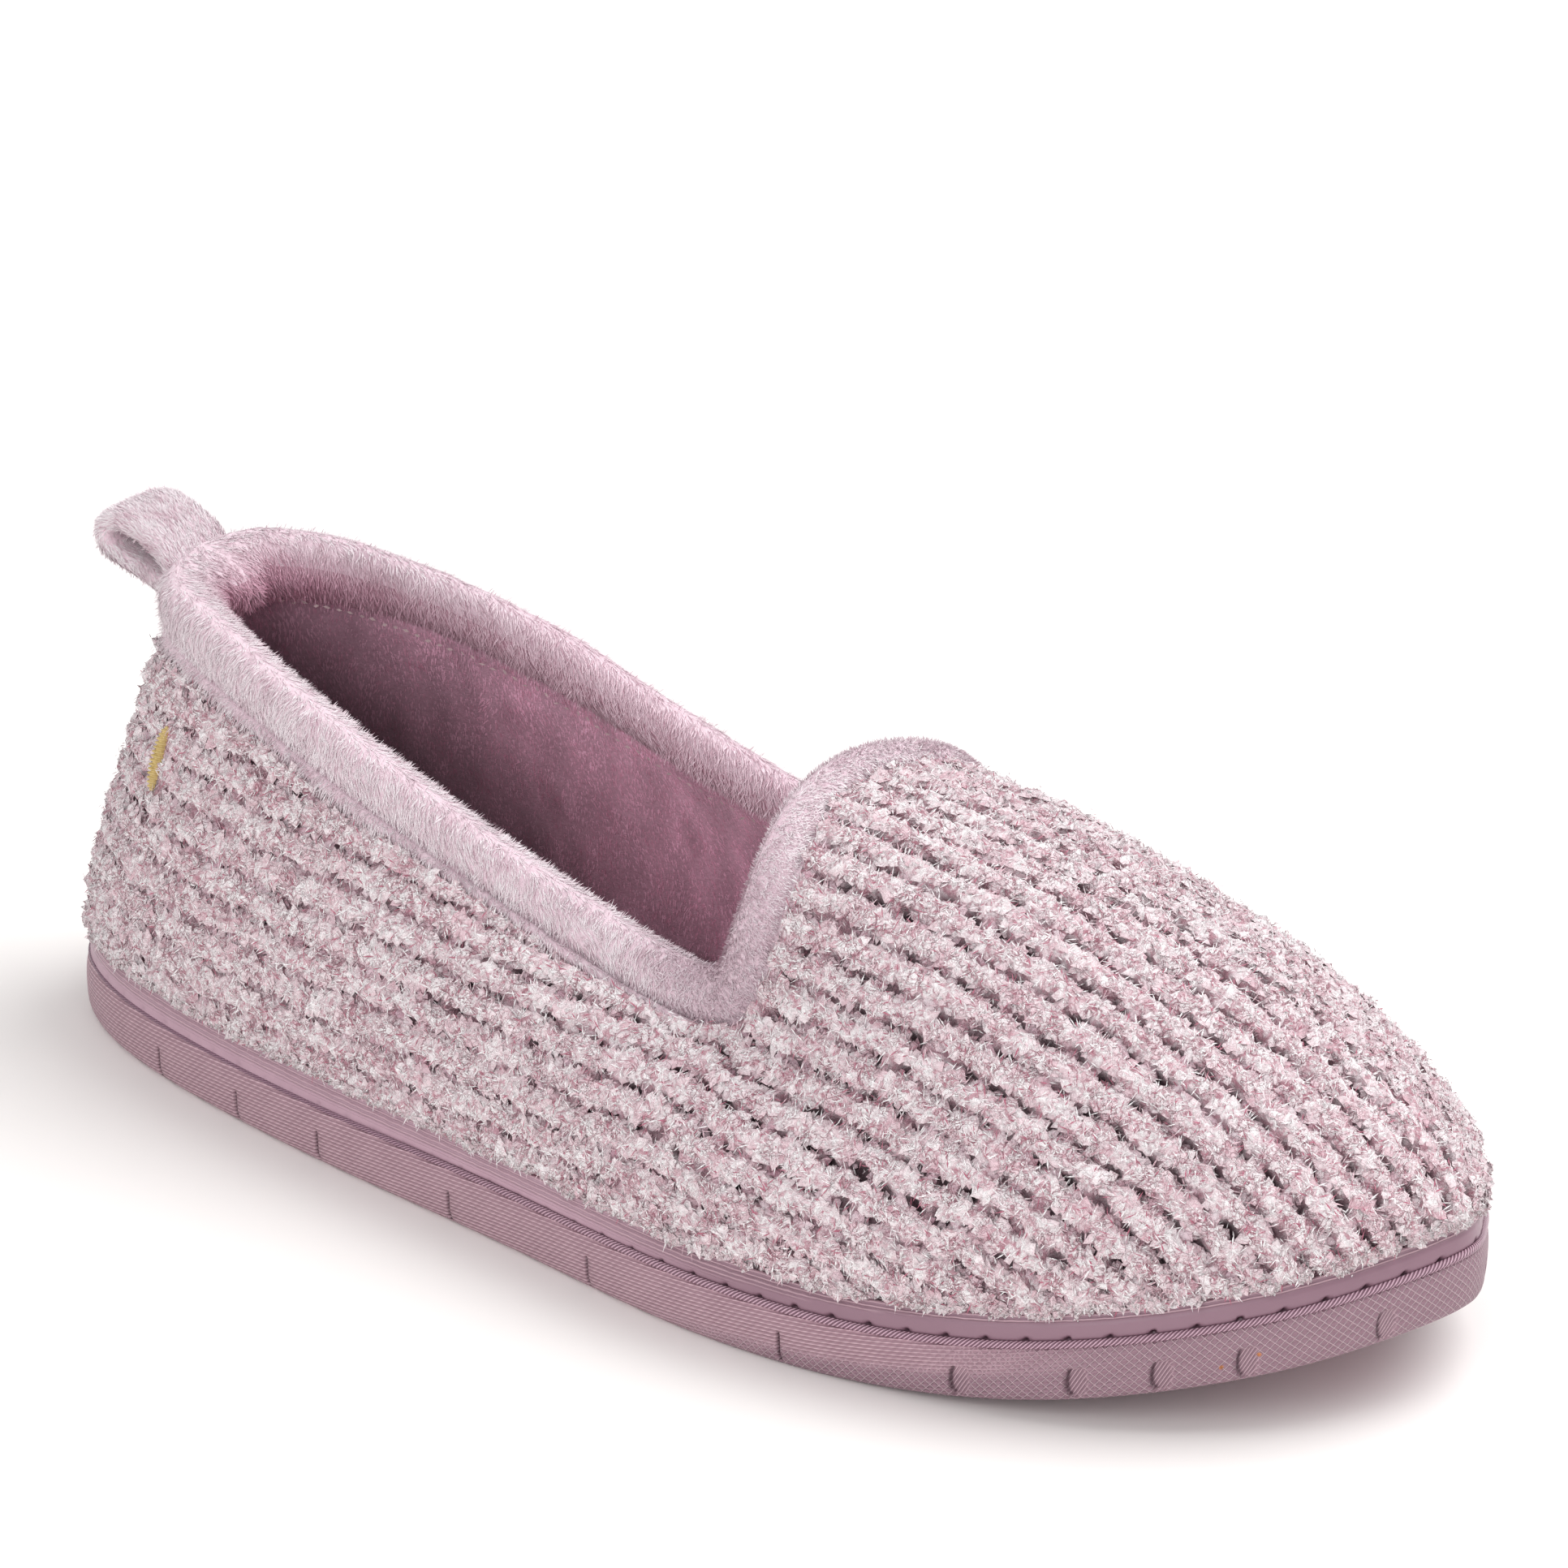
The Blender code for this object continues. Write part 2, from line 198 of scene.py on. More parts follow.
def closed_body(grid, across, crown):
    """Points and faces of a grid of rings, closed by a plate under the first ring and one over the last.

    The upper plate has that many steps across, and rises between its edges by the crown, as half a sine wave.
    """
    rows, columns = grid.shape[:2]
    members = rows * columns
    under, under_faces = plate(grid[0], 0, members, 2, False)
    over, over_faces = plate(grid[-1], members - columns, members + under[..., 0].size, across, True)
    over[..., 2] += crown * np.sin(np.pi * np.linspace(0.0, 1.0, across + 1)[1:-1])
    points = np.concatenate([part.reshape(-1, 3) for part in (grid, under, over)])
    return points, ring_quads(rows, columns).tolist() + under_faces + over_faces


def srgb(red, green, blue):
    """Linear colour of a tint given as red, green and blue from 0 to 255 on a screen."""
    tint = np.array((red, green, blue)) / 255.0
    linear = np.where(tint > 0.04045, ((tint + 0.055) / 1.055) ** 2.4, tint / 12.92)
    return (*linear.tolist(), 1.0)


def make_piece(name, points, quads, material, slot):
    """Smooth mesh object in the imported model's frame, with its material, riding on the shoe."""
    mesh = bpy.data.meshes.new(name)
    mesh.from_pydata((points.reshape(-1, 3) + shift) * 0.001, [], quads)
    mesh.polygons.foreach_set("use_smooth", np.ones(len(mesh.polygons), bool))
    mesh.materials.append(material)
    piece = bpy.data.objects.new(name, mesh)
    bpy.context.scene.collection.objects.link(piece)
    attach(piece, "root")
    return piece


def set_uv(piece, along, up):
    """UV map of a ring grid from one number for each column and each row; other faces lie at zero."""
    corner_rows, corner_columns = corners(len(up), len(along) - 1)
    flat = np.zeros((len(piece.data.loops), 2))
    flat[:corner_rows.size, 0] = along[corner_columns.ravel()]
    flat[:corner_rows.size, 1] = up[corner_rows.ravel()]
    piece.data.uv_layers.new(name="UVMap").data.foreach_set("uv", flat.ravel())


def set_values(piece, name, values):
    """Attribute with one number for each point; points past those given have zero."""
    flat = np.zeros(len(piece.data.vertices))
    flat[:values.size] = values.ravel()
    piece.data.attributes.new(name, "FLOAT", "POINT").data.foreach_set("value", flat)


def new_material(name, roughness, sheen=0.0, specular=0.5):
    """Material with a Principled shader; gives the material, its node tree and the shader."""
    material = bpy.data.materials.new(name)
    material.use_nodes = True
    shader = material.node_tree.nodes["Principled BSDF"]
    shader.inputs["Roughness"].default_value = roughness
    shader.inputs["Sheen Weight"].default_value = sheen
    shader.inputs["Sheen Roughness"].default_value = 0.5
    shader.inputs["Specular IOR Level"].default_value = specular
    return material, material.node_tree, shader


def feed(tree, socket, value):
    """Gives a socket its number or colour, or a link from another node's output."""
    if isinstance(value, bpy.types.NodeSocket):
        tree.links.new(value, socket)
    else:
        socket.default_value = value


def add_node(tree, kind, settings=None, inputs=None):
    """Node of that kind with its settings; each input is a value or another node's output."""
    node = tree.nodes.new(kind)
    for key, value in (settings or {}).items():
        setattr(node, key, value)
    for key, value in (inputs or {}).items():
        feed(tree, node.inputs[key], value)
    return node


def maths(tree, operation, *values):
    """Output of a Math node; each value is a number or another node's output."""
    node = add_node(tree, "ShaderNodeMath", {"operation": operation}, dict(enumerate(values)))
    return node.outputs["Value"]


def times(tree, first, second):
    """Product of two numbers or outputs."""
    return maths(tree, "MULTIPLY", first, second)


def mixed(tree, share, first, second):
    """Output of a colour mix; each side is a colour or another node's output."""
    return add_node(tree, "ShaderNodeMix", {"data_type": "RGBA"}, {0: share, 6: first, 7: second}).outputs[2]


def layered(tree, colour, layers):
    """Colour with tints laid over it in turn, each by its mask times a share."""
    for mask, share, tint in layers:
        colour = mixed(tree, times(tree, mask, share), colour, srgb(*tint))
    return colour


def attribute(tree, name, output="Fac"):
    """Output of a number, or with the output Color of a tint, stored on the mesh."""
    return add_node(tree, "ShaderNodeAttribute", {"attribute_name": name}).outputs[output]


def noise(tree, scale, detail, roughness=0.5, distortion=0.0):
    """Output of noise on Object coordinates."""
    place = add_node(tree, "ShaderNodeTexCoord").outputs["Object"]
    return add_node(tree, "ShaderNodeTexNoise", inputs={
        "Vector": place, "Scale": scale, "Detail": detail, "Roughness": roughness, "Distortion": distortion,
    }).outputs["Fac"]


def spread(tree, value, low, high, to_low=0.0, to_high=1.0):
    """Value stretched so that low and high become two other numbers, and held between them."""
    return add_node(tree, "ShaderNodeMapRange", inputs={
        "Value": value, "From Min": low, "From Max": high, "To Min": to_low, "To Max": to_high,
    }).outputs["Result"]


def stripes(tree, coordinate, pitch, turn, distortion=0.0):
    """Even light and dark stripes of a given pitch in millimetres, turned by an angle in radians."""
    mapping = add_node(tree, "ShaderNodeMapping", inputs={"Vector": coordinate, "Rotation": (0.0, 0.0, turn)})
    return add_node(tree, "ShaderNodeTexWave", inputs={
        "Vector": mapping.outputs["Vector"], "Scale": np.pi / 10.0 / pitch, "Distortion": distortion,
    }).outputs["Fac"]


def finish(tree, shader, colour, height, strength, depth):
    """Links the colour to the shader, and the height as a bump of that strength and depth in metres."""
    bump = add_node(tree, "ShaderNodeBump",
                    inputs={"Strength": strength, "Distance": depth, "Height": height})
    tree.links.new(colour, shader.inputs["Base Color"])
    tree.links.new(bump.outputs["Normal"], shader.inputs["Normal"])


# Columns of the sole: even steps along the right edge, closer at the cuts, and the same on the left.
table_places = np.linspace(0.0, HALF_ROUND, 2201)
table_length = arc(edge_ring(table_places)[0])
cut_lengths = np.interp(CUT_PLACES, table_places, table_length)
column_lengths = np.unique(np.concatenate([
    np.arange(0.0, table_length[-1], COLUMN_STEP), (cut_lengths[:, None] + CLOSE_STEPS).ravel(),
    table_length[-1:]]))
sole_places = mirrored_places(np.interp(column_lengths, table_length, table_places))
sole_lengths = np.concatenate([column_lengths, column_lengths[-2:0:-1]])
edge_x = edge_ring(sole_places)[0][:, 0]


def cut_depth(lengths, heights):
    """Depth of the cuts in the wall, the painted shade that darkens them, and the ground of the windows.

    Thin hooked slits lie to the heel, and wide round windows with a deeper back edge in painted shade to the
    toe.
    """
    way = lengths[None, :, None] - cut_lengths
    level = heights[:, None, None]
    upright = ease(level, 0.4, 1.1) * (1.0 - ease(level, CUT_TOP - 0.5, CUT_TOP))
    hook = way - 0.9 * np.clip((2.0 - level) / 2.0, 0.0, None) ** 2
    slit = 0.6 * np.exp(-(hook / 0.2) ** 2) + 0.22 * np.exp(-np.abs(hook) / 0.8) * (hook > 0.0)
    bow = 0.5 * (1.0 - ((level - 3.2) / 2.4) ** 2)
    window = ease(way + bow, -0.15, 0.15)
    window = window * (1.0 - ease(way - bow, WINDOW_WIDTH - 0.9, WINDOW_WIDTH + 0.3))
    kinds = np.arange(len(cut_lengths)) >= FIRST_WINDOW
    foot_turn = 1.1 * np.clip((1.9 - level) / 1.5, 0.0, None) ** 2
    edge_line = np.exp(-((way + bow - foot_turn) / 0.3) ** 2)
    depth = np.where(kinds, 0.45 * window + 0.25 * edge_line, slit)
    shade = np.where(kinds, edge_line, 1.6 * slit)
    return [(upright * share).max(2) for share in (depth, shade, kinds * window)]


hole_off = np.abs((sole_lengths / HOLE_STEP) % 1.0 - 0.5) * HOLE_STEP
hole_width = np.exp(-((0.5 * HOLE_STEP - hole_off) / HOLE_REACH[0]) ** 4)
hole_width = hole_width * (0.1 + 0.9 * ease(edge_x, 120.0, 190.0))
insets, heights = SOLE_PROFILE[:, :1], SOLE_PROFILE[:, 1]
hole_dip = np.exp(-((heights - HOLE_HEIGHT) / HOLE_REACH[1]) ** 4)[:, None] * hole_width
cut_dip, cut_shade, window_ground = cut_depth(sole_lengths, heights)
groove = np.exp(-((heights - ROPE_HEIGHT) / 0.55) ** 4)[:, None] * (1.0 - ease(edge_x, *ROPE_GROWS))
sole_inset = insets + HOLE_DEPTH * hole_dip + cut_dip + 0.9 * groove * (0.42 - insets)
sole_grid = np.stack([sole_ring(sole_places, inset, height) for inset, height in zip(sole_inset, heights)])
waist = np.clip((edge_x - WAIST_SPAN[0]) / (WAIST_SPAN[1] - WAIST_SPAN[0]), 0.0, 1.0)
sole_grid[0, :, 2] += WAIST_HOLLOW * np.sin(np.pi * waist) ** 2
shift = np.array(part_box("sole")[0]) * 1000.0 - sole_grid.reshape(-1, 3).min(0)

rubber, tree, shader = new_material("mauve_rubber", 0.55)
uv = add_node(tree, "ShaderNodeUVMap", {"uv_map": "UVMap"}).outputs["UV"]
level = add_node(tree, "ShaderNodeSeparateXYZ", inputs={"Vector": uv}).outputs["Y"]
# Toe zone: it carries the lattice, and its dark tint is painted shade towards the toe and on the heel's low
# rounding.
toe_pattern_and_shade = attribute(tree, "toe_pattern_and_shade")
in_window = attribute(tree, "windows")
on_wall = maths(tree, "LESS_THAN", level, WALL_TOP)
patterned = maths(tree, "MAXIMUM", in_window, times(tree, toe_pattern_and_shade, 0.7))
plain_wall = times(tree, on_wall, maths(tree, "SUBTRACT", 1.0, patterned))
# Twill grain of the wall: its light dashes are painted highlights, and the dark gaps between its rows painted
# shade.
twill_rows = times(tree, stripes(tree, uv, 0.6, 1.5, 0.5), plain_wall)
twill_highlights = times(tree, twill_rows, stripes(tree, uv, 1.0, 0.8, 1.0))
twill_gap = maths(tree, "SUBTRACT", plain_wall, twill_rows)
# Lattice at the toe, strands in the windows and ridges atop the strip are relief in the bump; their paler
# tints are painted highlights.
lines = [maths(tree, "POWER", stripes(tree, uv, 1.0, turn), 9.0) for turn in (DIAMOND_TURN, -DIAMOND_TURN)]
diamonds = times(tree, maths(tree, "MAXIMUM", *lines), on_wall)
diamonds = times(tree, diamonds, maths(tree, "SUBTRACT", toe_pattern_and_shade, in_window))
diamonds = maths(tree, "MAXIMUM", diamonds, 0.0)
window_lines = times(tree, stripes(tree, uv, 0.55, 0.6), in_window)
ridges = times(tree, stripes(tree, uv, 0.7, 1.5708, 1.2), attribute(tree, "ridges"))
mottle = noise(tree, 260.0, 6.0, 0.6)
colour = mixed(tree, on_wall, mixed(tree, mottle, srgb(166, 132, 147), srgb(190, 157, 171)),
               mixed(tree, mottle, srgb(176, 138, 151), srgb(210, 173, 184)))
colour = layered(tree, colour, (
    # Twill: light dashes are painted highlights, dark gaps painted shade.
    (twill_gap, 0.5, (126, 88, 102)), (twill_highlights, 0.5, (232, 202, 210)), (toe_pattern_and_shade, 0.85, (130, 98, 112)),
    # Paler lattice, window strands and ridges: painted highlights.
    (diamonds, 0.85, (218, 188, 198)), (window_lines, 0.7, (216, 184, 194)), (ridges, 0.6, (212, 178, 188)),
    # Painted shade in the cuts and in the stitch holes under the strip.
    (attribute(tree, "painted_recess_shade"), 0.9, (70, 42, 54)),
))
for speck in SPECKS:
    offset = add_node(tree, "ShaderNodeVectorMath", {"operation": "DISTANCE"}, {0: uv, 1: (*speck, 0.0)})
    spot = spread(tree, offset.outputs["Value"], SPECK_RADIUS, 0.4 * SPECK_RADIUS)
    colour = mixed(tree, spot, colour, srgb(188, 118, 66))
tree.links.new(spread(tree, level, 8.8, 9.8, 0.52, 0.38), shader.inputs["Roughness"])
height = maths(tree, "SUBTRACT", maths(tree, "MAXIMUM", diamonds, window_lines), twill_gap)
height = maths(tree, "MULTIPLY_ADD", mottle, 0.3, maths(tree, "ADD", height, ridges))
finish(tree, shader, colour, height, strength=1.0, depth=0.0003)

sole = make_piece("sole_rubber", *closed_body(sole_grid, 2, 0.0), rubber, "sole")
lengths_round = np.concatenate([column_lengths, 2.0 * column_lengths[-1] - column_lengths[-2::-1]])
set_uv(sole, lengths_round, heights)
low_wall = 1.0 - ease(heights, 1.5, 5.5)[:, None]
strip_rows = (heights > ROPE_HEIGHT)[:, None]
# The toe zone reaches further back on the strip and the low wall, and at the back of the heel it covers the
# low rounding as painted shade.
toe_share = ease(edge_x + 50.0 * low_wall + 60.0 * strip_rows, 185.0, 225.0)
ridge_start = 11.0 + 1.5 * ease(edge_x, 150.0, 200.0)
set_values(sole, "toe_pattern_and_shade", toe_share + 0.4 * low_wall * (1.0 - ease(edge_x, 4.0, 22.0)))
set_values(sole, "windows", window_ground)
# Painted shade: the slits, the windows' back edges and the stitch holes under the strip are darkened.
set_values(sole, "painted_recess_shade", np.clip(cut_shade + 1.3 * hole_dip, 0.0, 1.0))
set_values(sole, "ridges", ease(heights[:, None] - ridge_start, 0.0, 0.2))
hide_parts("sole")

# Rope: a thin twisted cord of shiny mauve yarn laid in the seat over the side wall all round the sole, held
# by a stitch every few millimetres under the strip.
ROPE_INSET = 0.62
ROPE_RADIUS = 0.64
HEEL_ROPE_RADIUS = 0.32
ROPE_SIDES = 8
ROPE_COLUMNS = 800
STRAND_PITCH = 0.55
STRAND_TURN = 0.75


def even_places(way, steps):
    """Places round the shoe at even steps of a way along each side, such as its length."""
    return mirrored_places(np.interp(np.linspace(0.0, way[-1], steps + 1), way, table_places))


def full_turn(sides):
    """Angles of a number of equal steps round a circle."""
    return np.arange(sides) * 2.0 * np.pi / sides


def tube_round(places, radius, sides):
    """Tube on a ring of the sole: a circle in the upright plane square to the edge, with its own radii."""
    outwards = np.column_stack([edge_ring(places)[1], np.zeros(len(places))])
    turn = full_turn(sides)[:, None, None]
    swing = np.cos(turn) * outwards + np.sin(turn) * np.array((0.0, 0.0, 1.0))
    return sole_ring(places, ROPE_INSET, ROPE_HEIGHT) + radius[:, None] * swing


rope_places = even_places(table_length, ROPE_COLUMNS // 2)
rope_front = ease(edge_ring(rope_places)[0][:, 0], *ROPE_GROWS)
rope_radius = HEEL_ROPE_RADIUS + (ROPE_RADIUS - HEEL_ROPE_RADIUS) * rope_front
rope_grid = tube_round(rope_places, rope_radius, ROPE_SIDES)

cord_yarn, tree, shader = new_material("mauve_cord_yarn", 0.3)
uv = add_node(tree, "ShaderNodeUVMap", {"uv_map": "UVMap"}).outputs["UV"]
# The strands are the bump too; their pale stripes are painted glints and the dark ones painted shade between
# strands.
strands = stripes(tree, uv, STRAND_PITCH, STRAND_TURN)
colour = mixed(tree, strands, srgb(104, 66, 84), srgb(212, 176, 192))
# Painted shade: the rope darkens towards the heel, where it lies deep in its groove.
colour = layered(tree, colour, ((attribute(tree, "heel_share"), 0.5, (120, 76, 104)),))
finish(tree, shader, colour, strands, strength=1.0, depth=0.0002)
rope = make_piece("rope", rope_grid, ring_quads(ROPE_SIDES, ROPE_COLUMNS, True), cord_yarn, "sole")
set_uv(rope, 2.0 * table_length[-1] / ROPE_COLUMNS * np.arange(ROPE_COLUMNS + 1),
       2.0 * np.pi * ROPE_RADIUS / ROPE_SIDES * np.arange(ROPE_SIDES + 1))
set_values(rope, "heel_share", np.broadcast_to(1.0 - rope_front, (ROPE_SIDES, ROPE_COLUMNS)))

# Insole: a foam pad under plush cloth, pressed into the recess of the sole and crowned between its edges.
# Only its top shows, through the opening.
INSOLE_PROFILE = (
    # inset, height over the sole's own bottom
    (6.4, 9.3), (5.7, 9.6), (5.5, 10.3), (5.5, 11.4), (5.7, 12.2), (6.3, 12.8), (7.2, 13.15), (8.2, 13.3),
)
INSOLE_COLUMNS = 360
INSOLE_ACROSS = 14
INSOLE_CROWN = 0.5


def new_group(name, inputs, outputs):
    """Node group with named sockets, each given with its kind."""
    group = bpy.data.node_groups.new(name, "ShaderNodeTree")
    for way, sockets in (("INPUT", inputs), ("OUTPUT", outputs)):
        for socket, kind in sockets.items():
            group.interface.new_socket(socket, in_out=way, socket_type="NodeSocket" + kind)
    return group


def plush_nap(name):
    """Node group: short pile in two tones. Noise at two sizes mixes deep and pale, and gives the height."""
    group = new_group(name, {"Deep": "Color", "Pale": "Color", "Fineness": "Float"},
                      {"Colour": "Color", "Height": "Float"})
    entry = group.nodes.new("NodeGroupInput").outputs
    leave = group.nodes.new("NodeGroupOutput").inputs
    brushed = times(group, noise(group, 130.0, 3.0, distortion=0.6), 0.35)
    both = maths(group, "MULTIPLY_ADD", noise(group, entry["Fineness"], 4.0, 0.7), 0.65, brushed)
    tone = mixed(group, spread(group, both, 0.3, 0.7), entry["Deep"], entry["Pale"])
    group.links.new(tone, leave["Colour"])
    group.links.new(both, leave["Height"])
    return group


pile_group = plush_nap("plush_nap")


def plush_material(name, deep, pale, fineness, sheen, shade=None):
    """Cloth with a short pile, from the shared nap group; the attribute named by shade scales its colour."""
    material, tree, shader = new_material(name, 0.95, sheen)
    nap = add_node(tree, "ShaderNodeGroup", {"node_tree": pile_group},
                   {"Deep": deep, "Pale": pale, "Fineness": fineness}).outputs
    colour = nap["Colour"]
    if shade:
        colour = add_node(tree, "ShaderNodeVectorMath", {"operation": "SCALE"},
                          {0: colour, "Scale": attribute(tree, shade)}).outputs["Vector"]
    finish(tree, shader, colour, nap["Height"], strength=0.7, depth=0.0005)
    return material


insole_places = even_places(table_length, INSOLE_COLUMNS // 2)
insole_grid = np.stack([sole_ring(insole_places, inset, height) for inset, height in INSOLE_PROFILE])
insole_cloth = plush_material("insole_plush", srgb(166, 118, 134), srgb(206, 160, 176), 1500.0, 0.3)
insole_body = closed_body(insole_grid, INSOLE_ACROSS, INSOLE_CROWN)
insole = make_piece("insole_pad", *insole_body, insole_cloth, "insole")
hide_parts("insole")

# Knit upper: chunky rib knit in a white and rose chenille yarn, stretched over the last and stuck into the
# sole's lip. The ribs run with the sole's edge along the quarters and straight to the toe over the vamp.
LIP_INSET = 1.1
LIP_HEIGHT = 12.6
GAP = 0.3
ROOF_TURN = 6.0
KNIT_STEPS = 360
KNIT_ROWS = 108
KNIT_BACK_ROWS = 9
KNIT_DROP = 11.7
THROAT_LAP = 1.9
KNIT_THICKNESS = 2.6
RIB_PITCH = 5.3
STITCH = 5.4
RELIEF = 1.6
STITCH_HOLE_DEPTH = 1.6
TUCK = 2.4
TUCK_DEPTH = 0.5
TACK_EDGE_WAY = 39.0
TACK_HEIGHTS = (30.7, 41.2)
GIRTH_START = 60.0
THROAT_X = 146.0
COLLAR_SHARES = np.array((
    # crest on the right, on the left, thickness outwards, inwards, width, depth of the crease; way down
    (0.75, 0.75, 0.45, 2.4, 0.94, 1.0, 0.0),
    (0.60, 0.90, 0.70, 2.2, 0.90, 1.0, 0.0),
    (0.48, 1.00, 1.0, 1.4, 0.86, 1.0, 0.0),
    (0.45, 1.05, 1.0, 0.85, 0.83, 1.0, 0.0),
    (0.45, 1.15, 1.0, 0.8, 0.82, 1.0, 0.0),
    (0.50, 1.20, 1.0, 0.8, 0.82, 1.0, 0.0),
    (0.80, 1.20, 1.0, 0.8, 0.82, 0.9, 0.1),
    (0.70, 1.00, 1.0, 0.75, 0.86, 0.5, 1.0),
    (0.20, 0.60, 1.0, 0.7, 0.84, 0.2, 2.0),
    (0.15, 0.15, 0.9, 0.6, 0.74, 0.1, 1.0),
    (0.15, 0.15, 0.9, 0.6, 0.68, 0.1, 0.2),
    (0.15, 0.15, 0.9, 0.6, 0.68, 0.1, 0.0),
))


def unit(vectors):
    """Vectors of length one."""
    return vectors / np.linalg.norm(vectors, axis=-1, keepdims=True)


def wall_lines(places):
    """Four guide points of each line of the upper's face, from the lip of the sole to the top line."""
    foot = sole_ring(places, LIP_INSET, LIP_HEIGHT + GAP)
    left = SECTIONS[:, 3:6]
    top = closed_spline(round_the_shoe(left * (1.0, -1.0, 1.0), left), places)
    handles = closed_spline(round_the_shoe(SECTIONS[:, 6:], SECTIONS[:, 6:]), places)
    rise, bulge, roof, slope = handles.T[:, :, None]
    out = np.column_stack([edge_ring(places)[1], np.zeros(len(places))])
    away = unit((foot - top) * (1.0, 1.0, 0.0) + ROOF_TURN * out)
    up = np.array([0.0, 0.0, 1.0])
    slope = np.radians(slope)
    upper = top + roof * (np.cos(slope) * away - np.sin(slope) * up)
    return foot, foot + rise * (up + bulge * out), upper, top


def face(places, shares):
    """Points of the upper's outer face: each line is a cubic from the sole (share 0) to the top (share 1)."""
    foot, lower, upper, top = wall_lines(places)
    share = np.reshape(shares, (-1, len(places), 1))
    rest = 1.0 - share
    return rest**3 * foot + 3 * share * rest**2 * lower + 3 * share**2 * rest * upper + share**3 * top


def face_normals(places, shares):
    """Outward directions of the upper's face, from its slopes along and up the wall."""
    step = 0.004
    shares = np.clip(np.reshape(shares, (-1, len(places))), step, 1.0 - step)
    along = face(places + step, shares) - face(places - step, shares)
    return unit(np.cross(along, face(places, shares + step) - face(places, shares - step)))


def share_at_drop(places, drops):
    """Shares that lie given ways below the top line along the face: a row of ways for each row of shares."""
    shares = np.linspace(1.0, 0.0, 161)
    length = arc(face(places, np.repeat(shares[:, None], len(places), 1)))
    return np.stack([np.interp(drops[:, k], length[:, k], shares) for k in range(len(places))], 1)


def collar_shares(places):
    """Crest, thickness outwards and inwards, width and crease of the collar as shares, and its way down."""
    rows = round_the_shoe(COLLAR_SHARES[:, (0, 2, 3, 4, 5, 6)], COLLAR_SHARES[:, 1:])
    return closed_spline(rows, places).T


def cloud(points, size, seed):
    """Soft random swell from -1 to 1: random values at the corners of cubes of a size, joined smoothly."""
    cells = 32
    values = np.random.default_rng(seed).uniform(-1.0, 1.0, (cells, cells, cells))
    whole = np.floor(points / size).astype(int)
    part = points / size - whole
    part = part * part * (3.0 - 2.0 * part)
    swell = np.zeros(points.shape[:-1])
    for corner in np.ndindex(2, 2, 2):
        pick = (whole + np.array(corner)) % cells
        weight = np.where(np.array(corner) == 1, part, 1.0 - part).prod(-1)
        swell += weight * values[pick[..., 0], pick[..., 1], pick[..., 2]]
    return swell


def sampled(places, known, rows):
    """Rows of numbers at given places of a known scale, each column joined linearly."""
    return np.stack([np.interp(places, known, column) for column in rows.T], -1)


def arc_across(points):
    """Length up the face along upright cuts square to the shoe, and the cuts' whole length to the middle.

    The columns run from heel to toe on one side. A cut at one x crosses each column once, and the steps
    between its crossings add up, starting where the cut leaves the sole's edge.
    """
    x = np.minimum.accumulate(points[..., 0], 0)
    edge = points[0]
    levels = np.linspace(GIRTH_START, edge[-1, 0], 500)
    columns = range(points.shape[1])
    cuts = np.stack([sampled(-levels, -x[:, k], points[:, k]) for k in columns])
    start = sampled(levels, edge[:, 0], edge)
    length = arc(np.where(levels[None, :, None] > edge[:, None, :1], start, cuts))
    height = np.stack([np.interp(points[:, k, 0], levels, length[k]) for k in columns], 1)
    return height, np.interp(np.maximum(points[..., 0], THROAT_X), levels, length[-1])


def rib_count(points, pitch, heel_pitch):
    """Ribs counted from the middle of the vamp: 0 on the middle rib, growing down each side to the sole."""
    x = points[..., 0]
    across, half_girth = arc_across(points)
    vamp = ease(x, 95.0, THROAT_X)
    height = (1.0 - vamp) * arc(points) + vamp * across
    local_pitch = heel_pitch + (pitch - heel_pitch) * ease(x, 50.0, THROAT_X)
    return half_girth / pitch - height / local_pitch


# Columns of the knit: steps by the longer of sole's edge and top line, so the throat's bends are fine.
table_lines = wall_lines(table_places)
knit_way = running(np.maximum(step_lengths(table_lines[0]), 1.3 * step_lengths(table_lines[3])))
knit_places = even_places(knit_way, KNIT_STEPS)
knit_half = knit_places[:KNIT_STEPS + 1]
knit_columns = len(knit_places)
knit_band = collar_shares(knit_places)
at_lap = ease(wall_lines(knit_places)[3][:, 0], 126.0, 138.0)
knit_end = share_at_drop(knit_places, (KNIT_DROP * knit_band[3] + knit_band[5] - THROAT_LAP * at_lap)[None])
knit_shares = np.linspace(0.0, 1.0, KNIT_ROWS)[:, None] * knit_end
knit_face = face(knit_places, knit_shares)
knit_out = face_normals(knit_places, knit_shares)

right_side = knit_face[:, :KNIT_STEPS + 1]
left_side = np.concatenate([knit_face[:, :1], knit_face[:, :KNIT_STEPS - 1:-1]], 1)
left_pitch = RIB_PITCH * arc_across(left_side)[1].max() / arc_across(right_side)[1].max()
right_ribs = rib_count(right_side, RIB_PITCH, RIB_PITCH)
left_ribs = rib_count(left_side, left_pitch, RIB_PITCH)
ribs = np.concatenate([right_ribs, left_ribs[:, -2:0:-1]], 1)
knit_up = arc(knit_face)

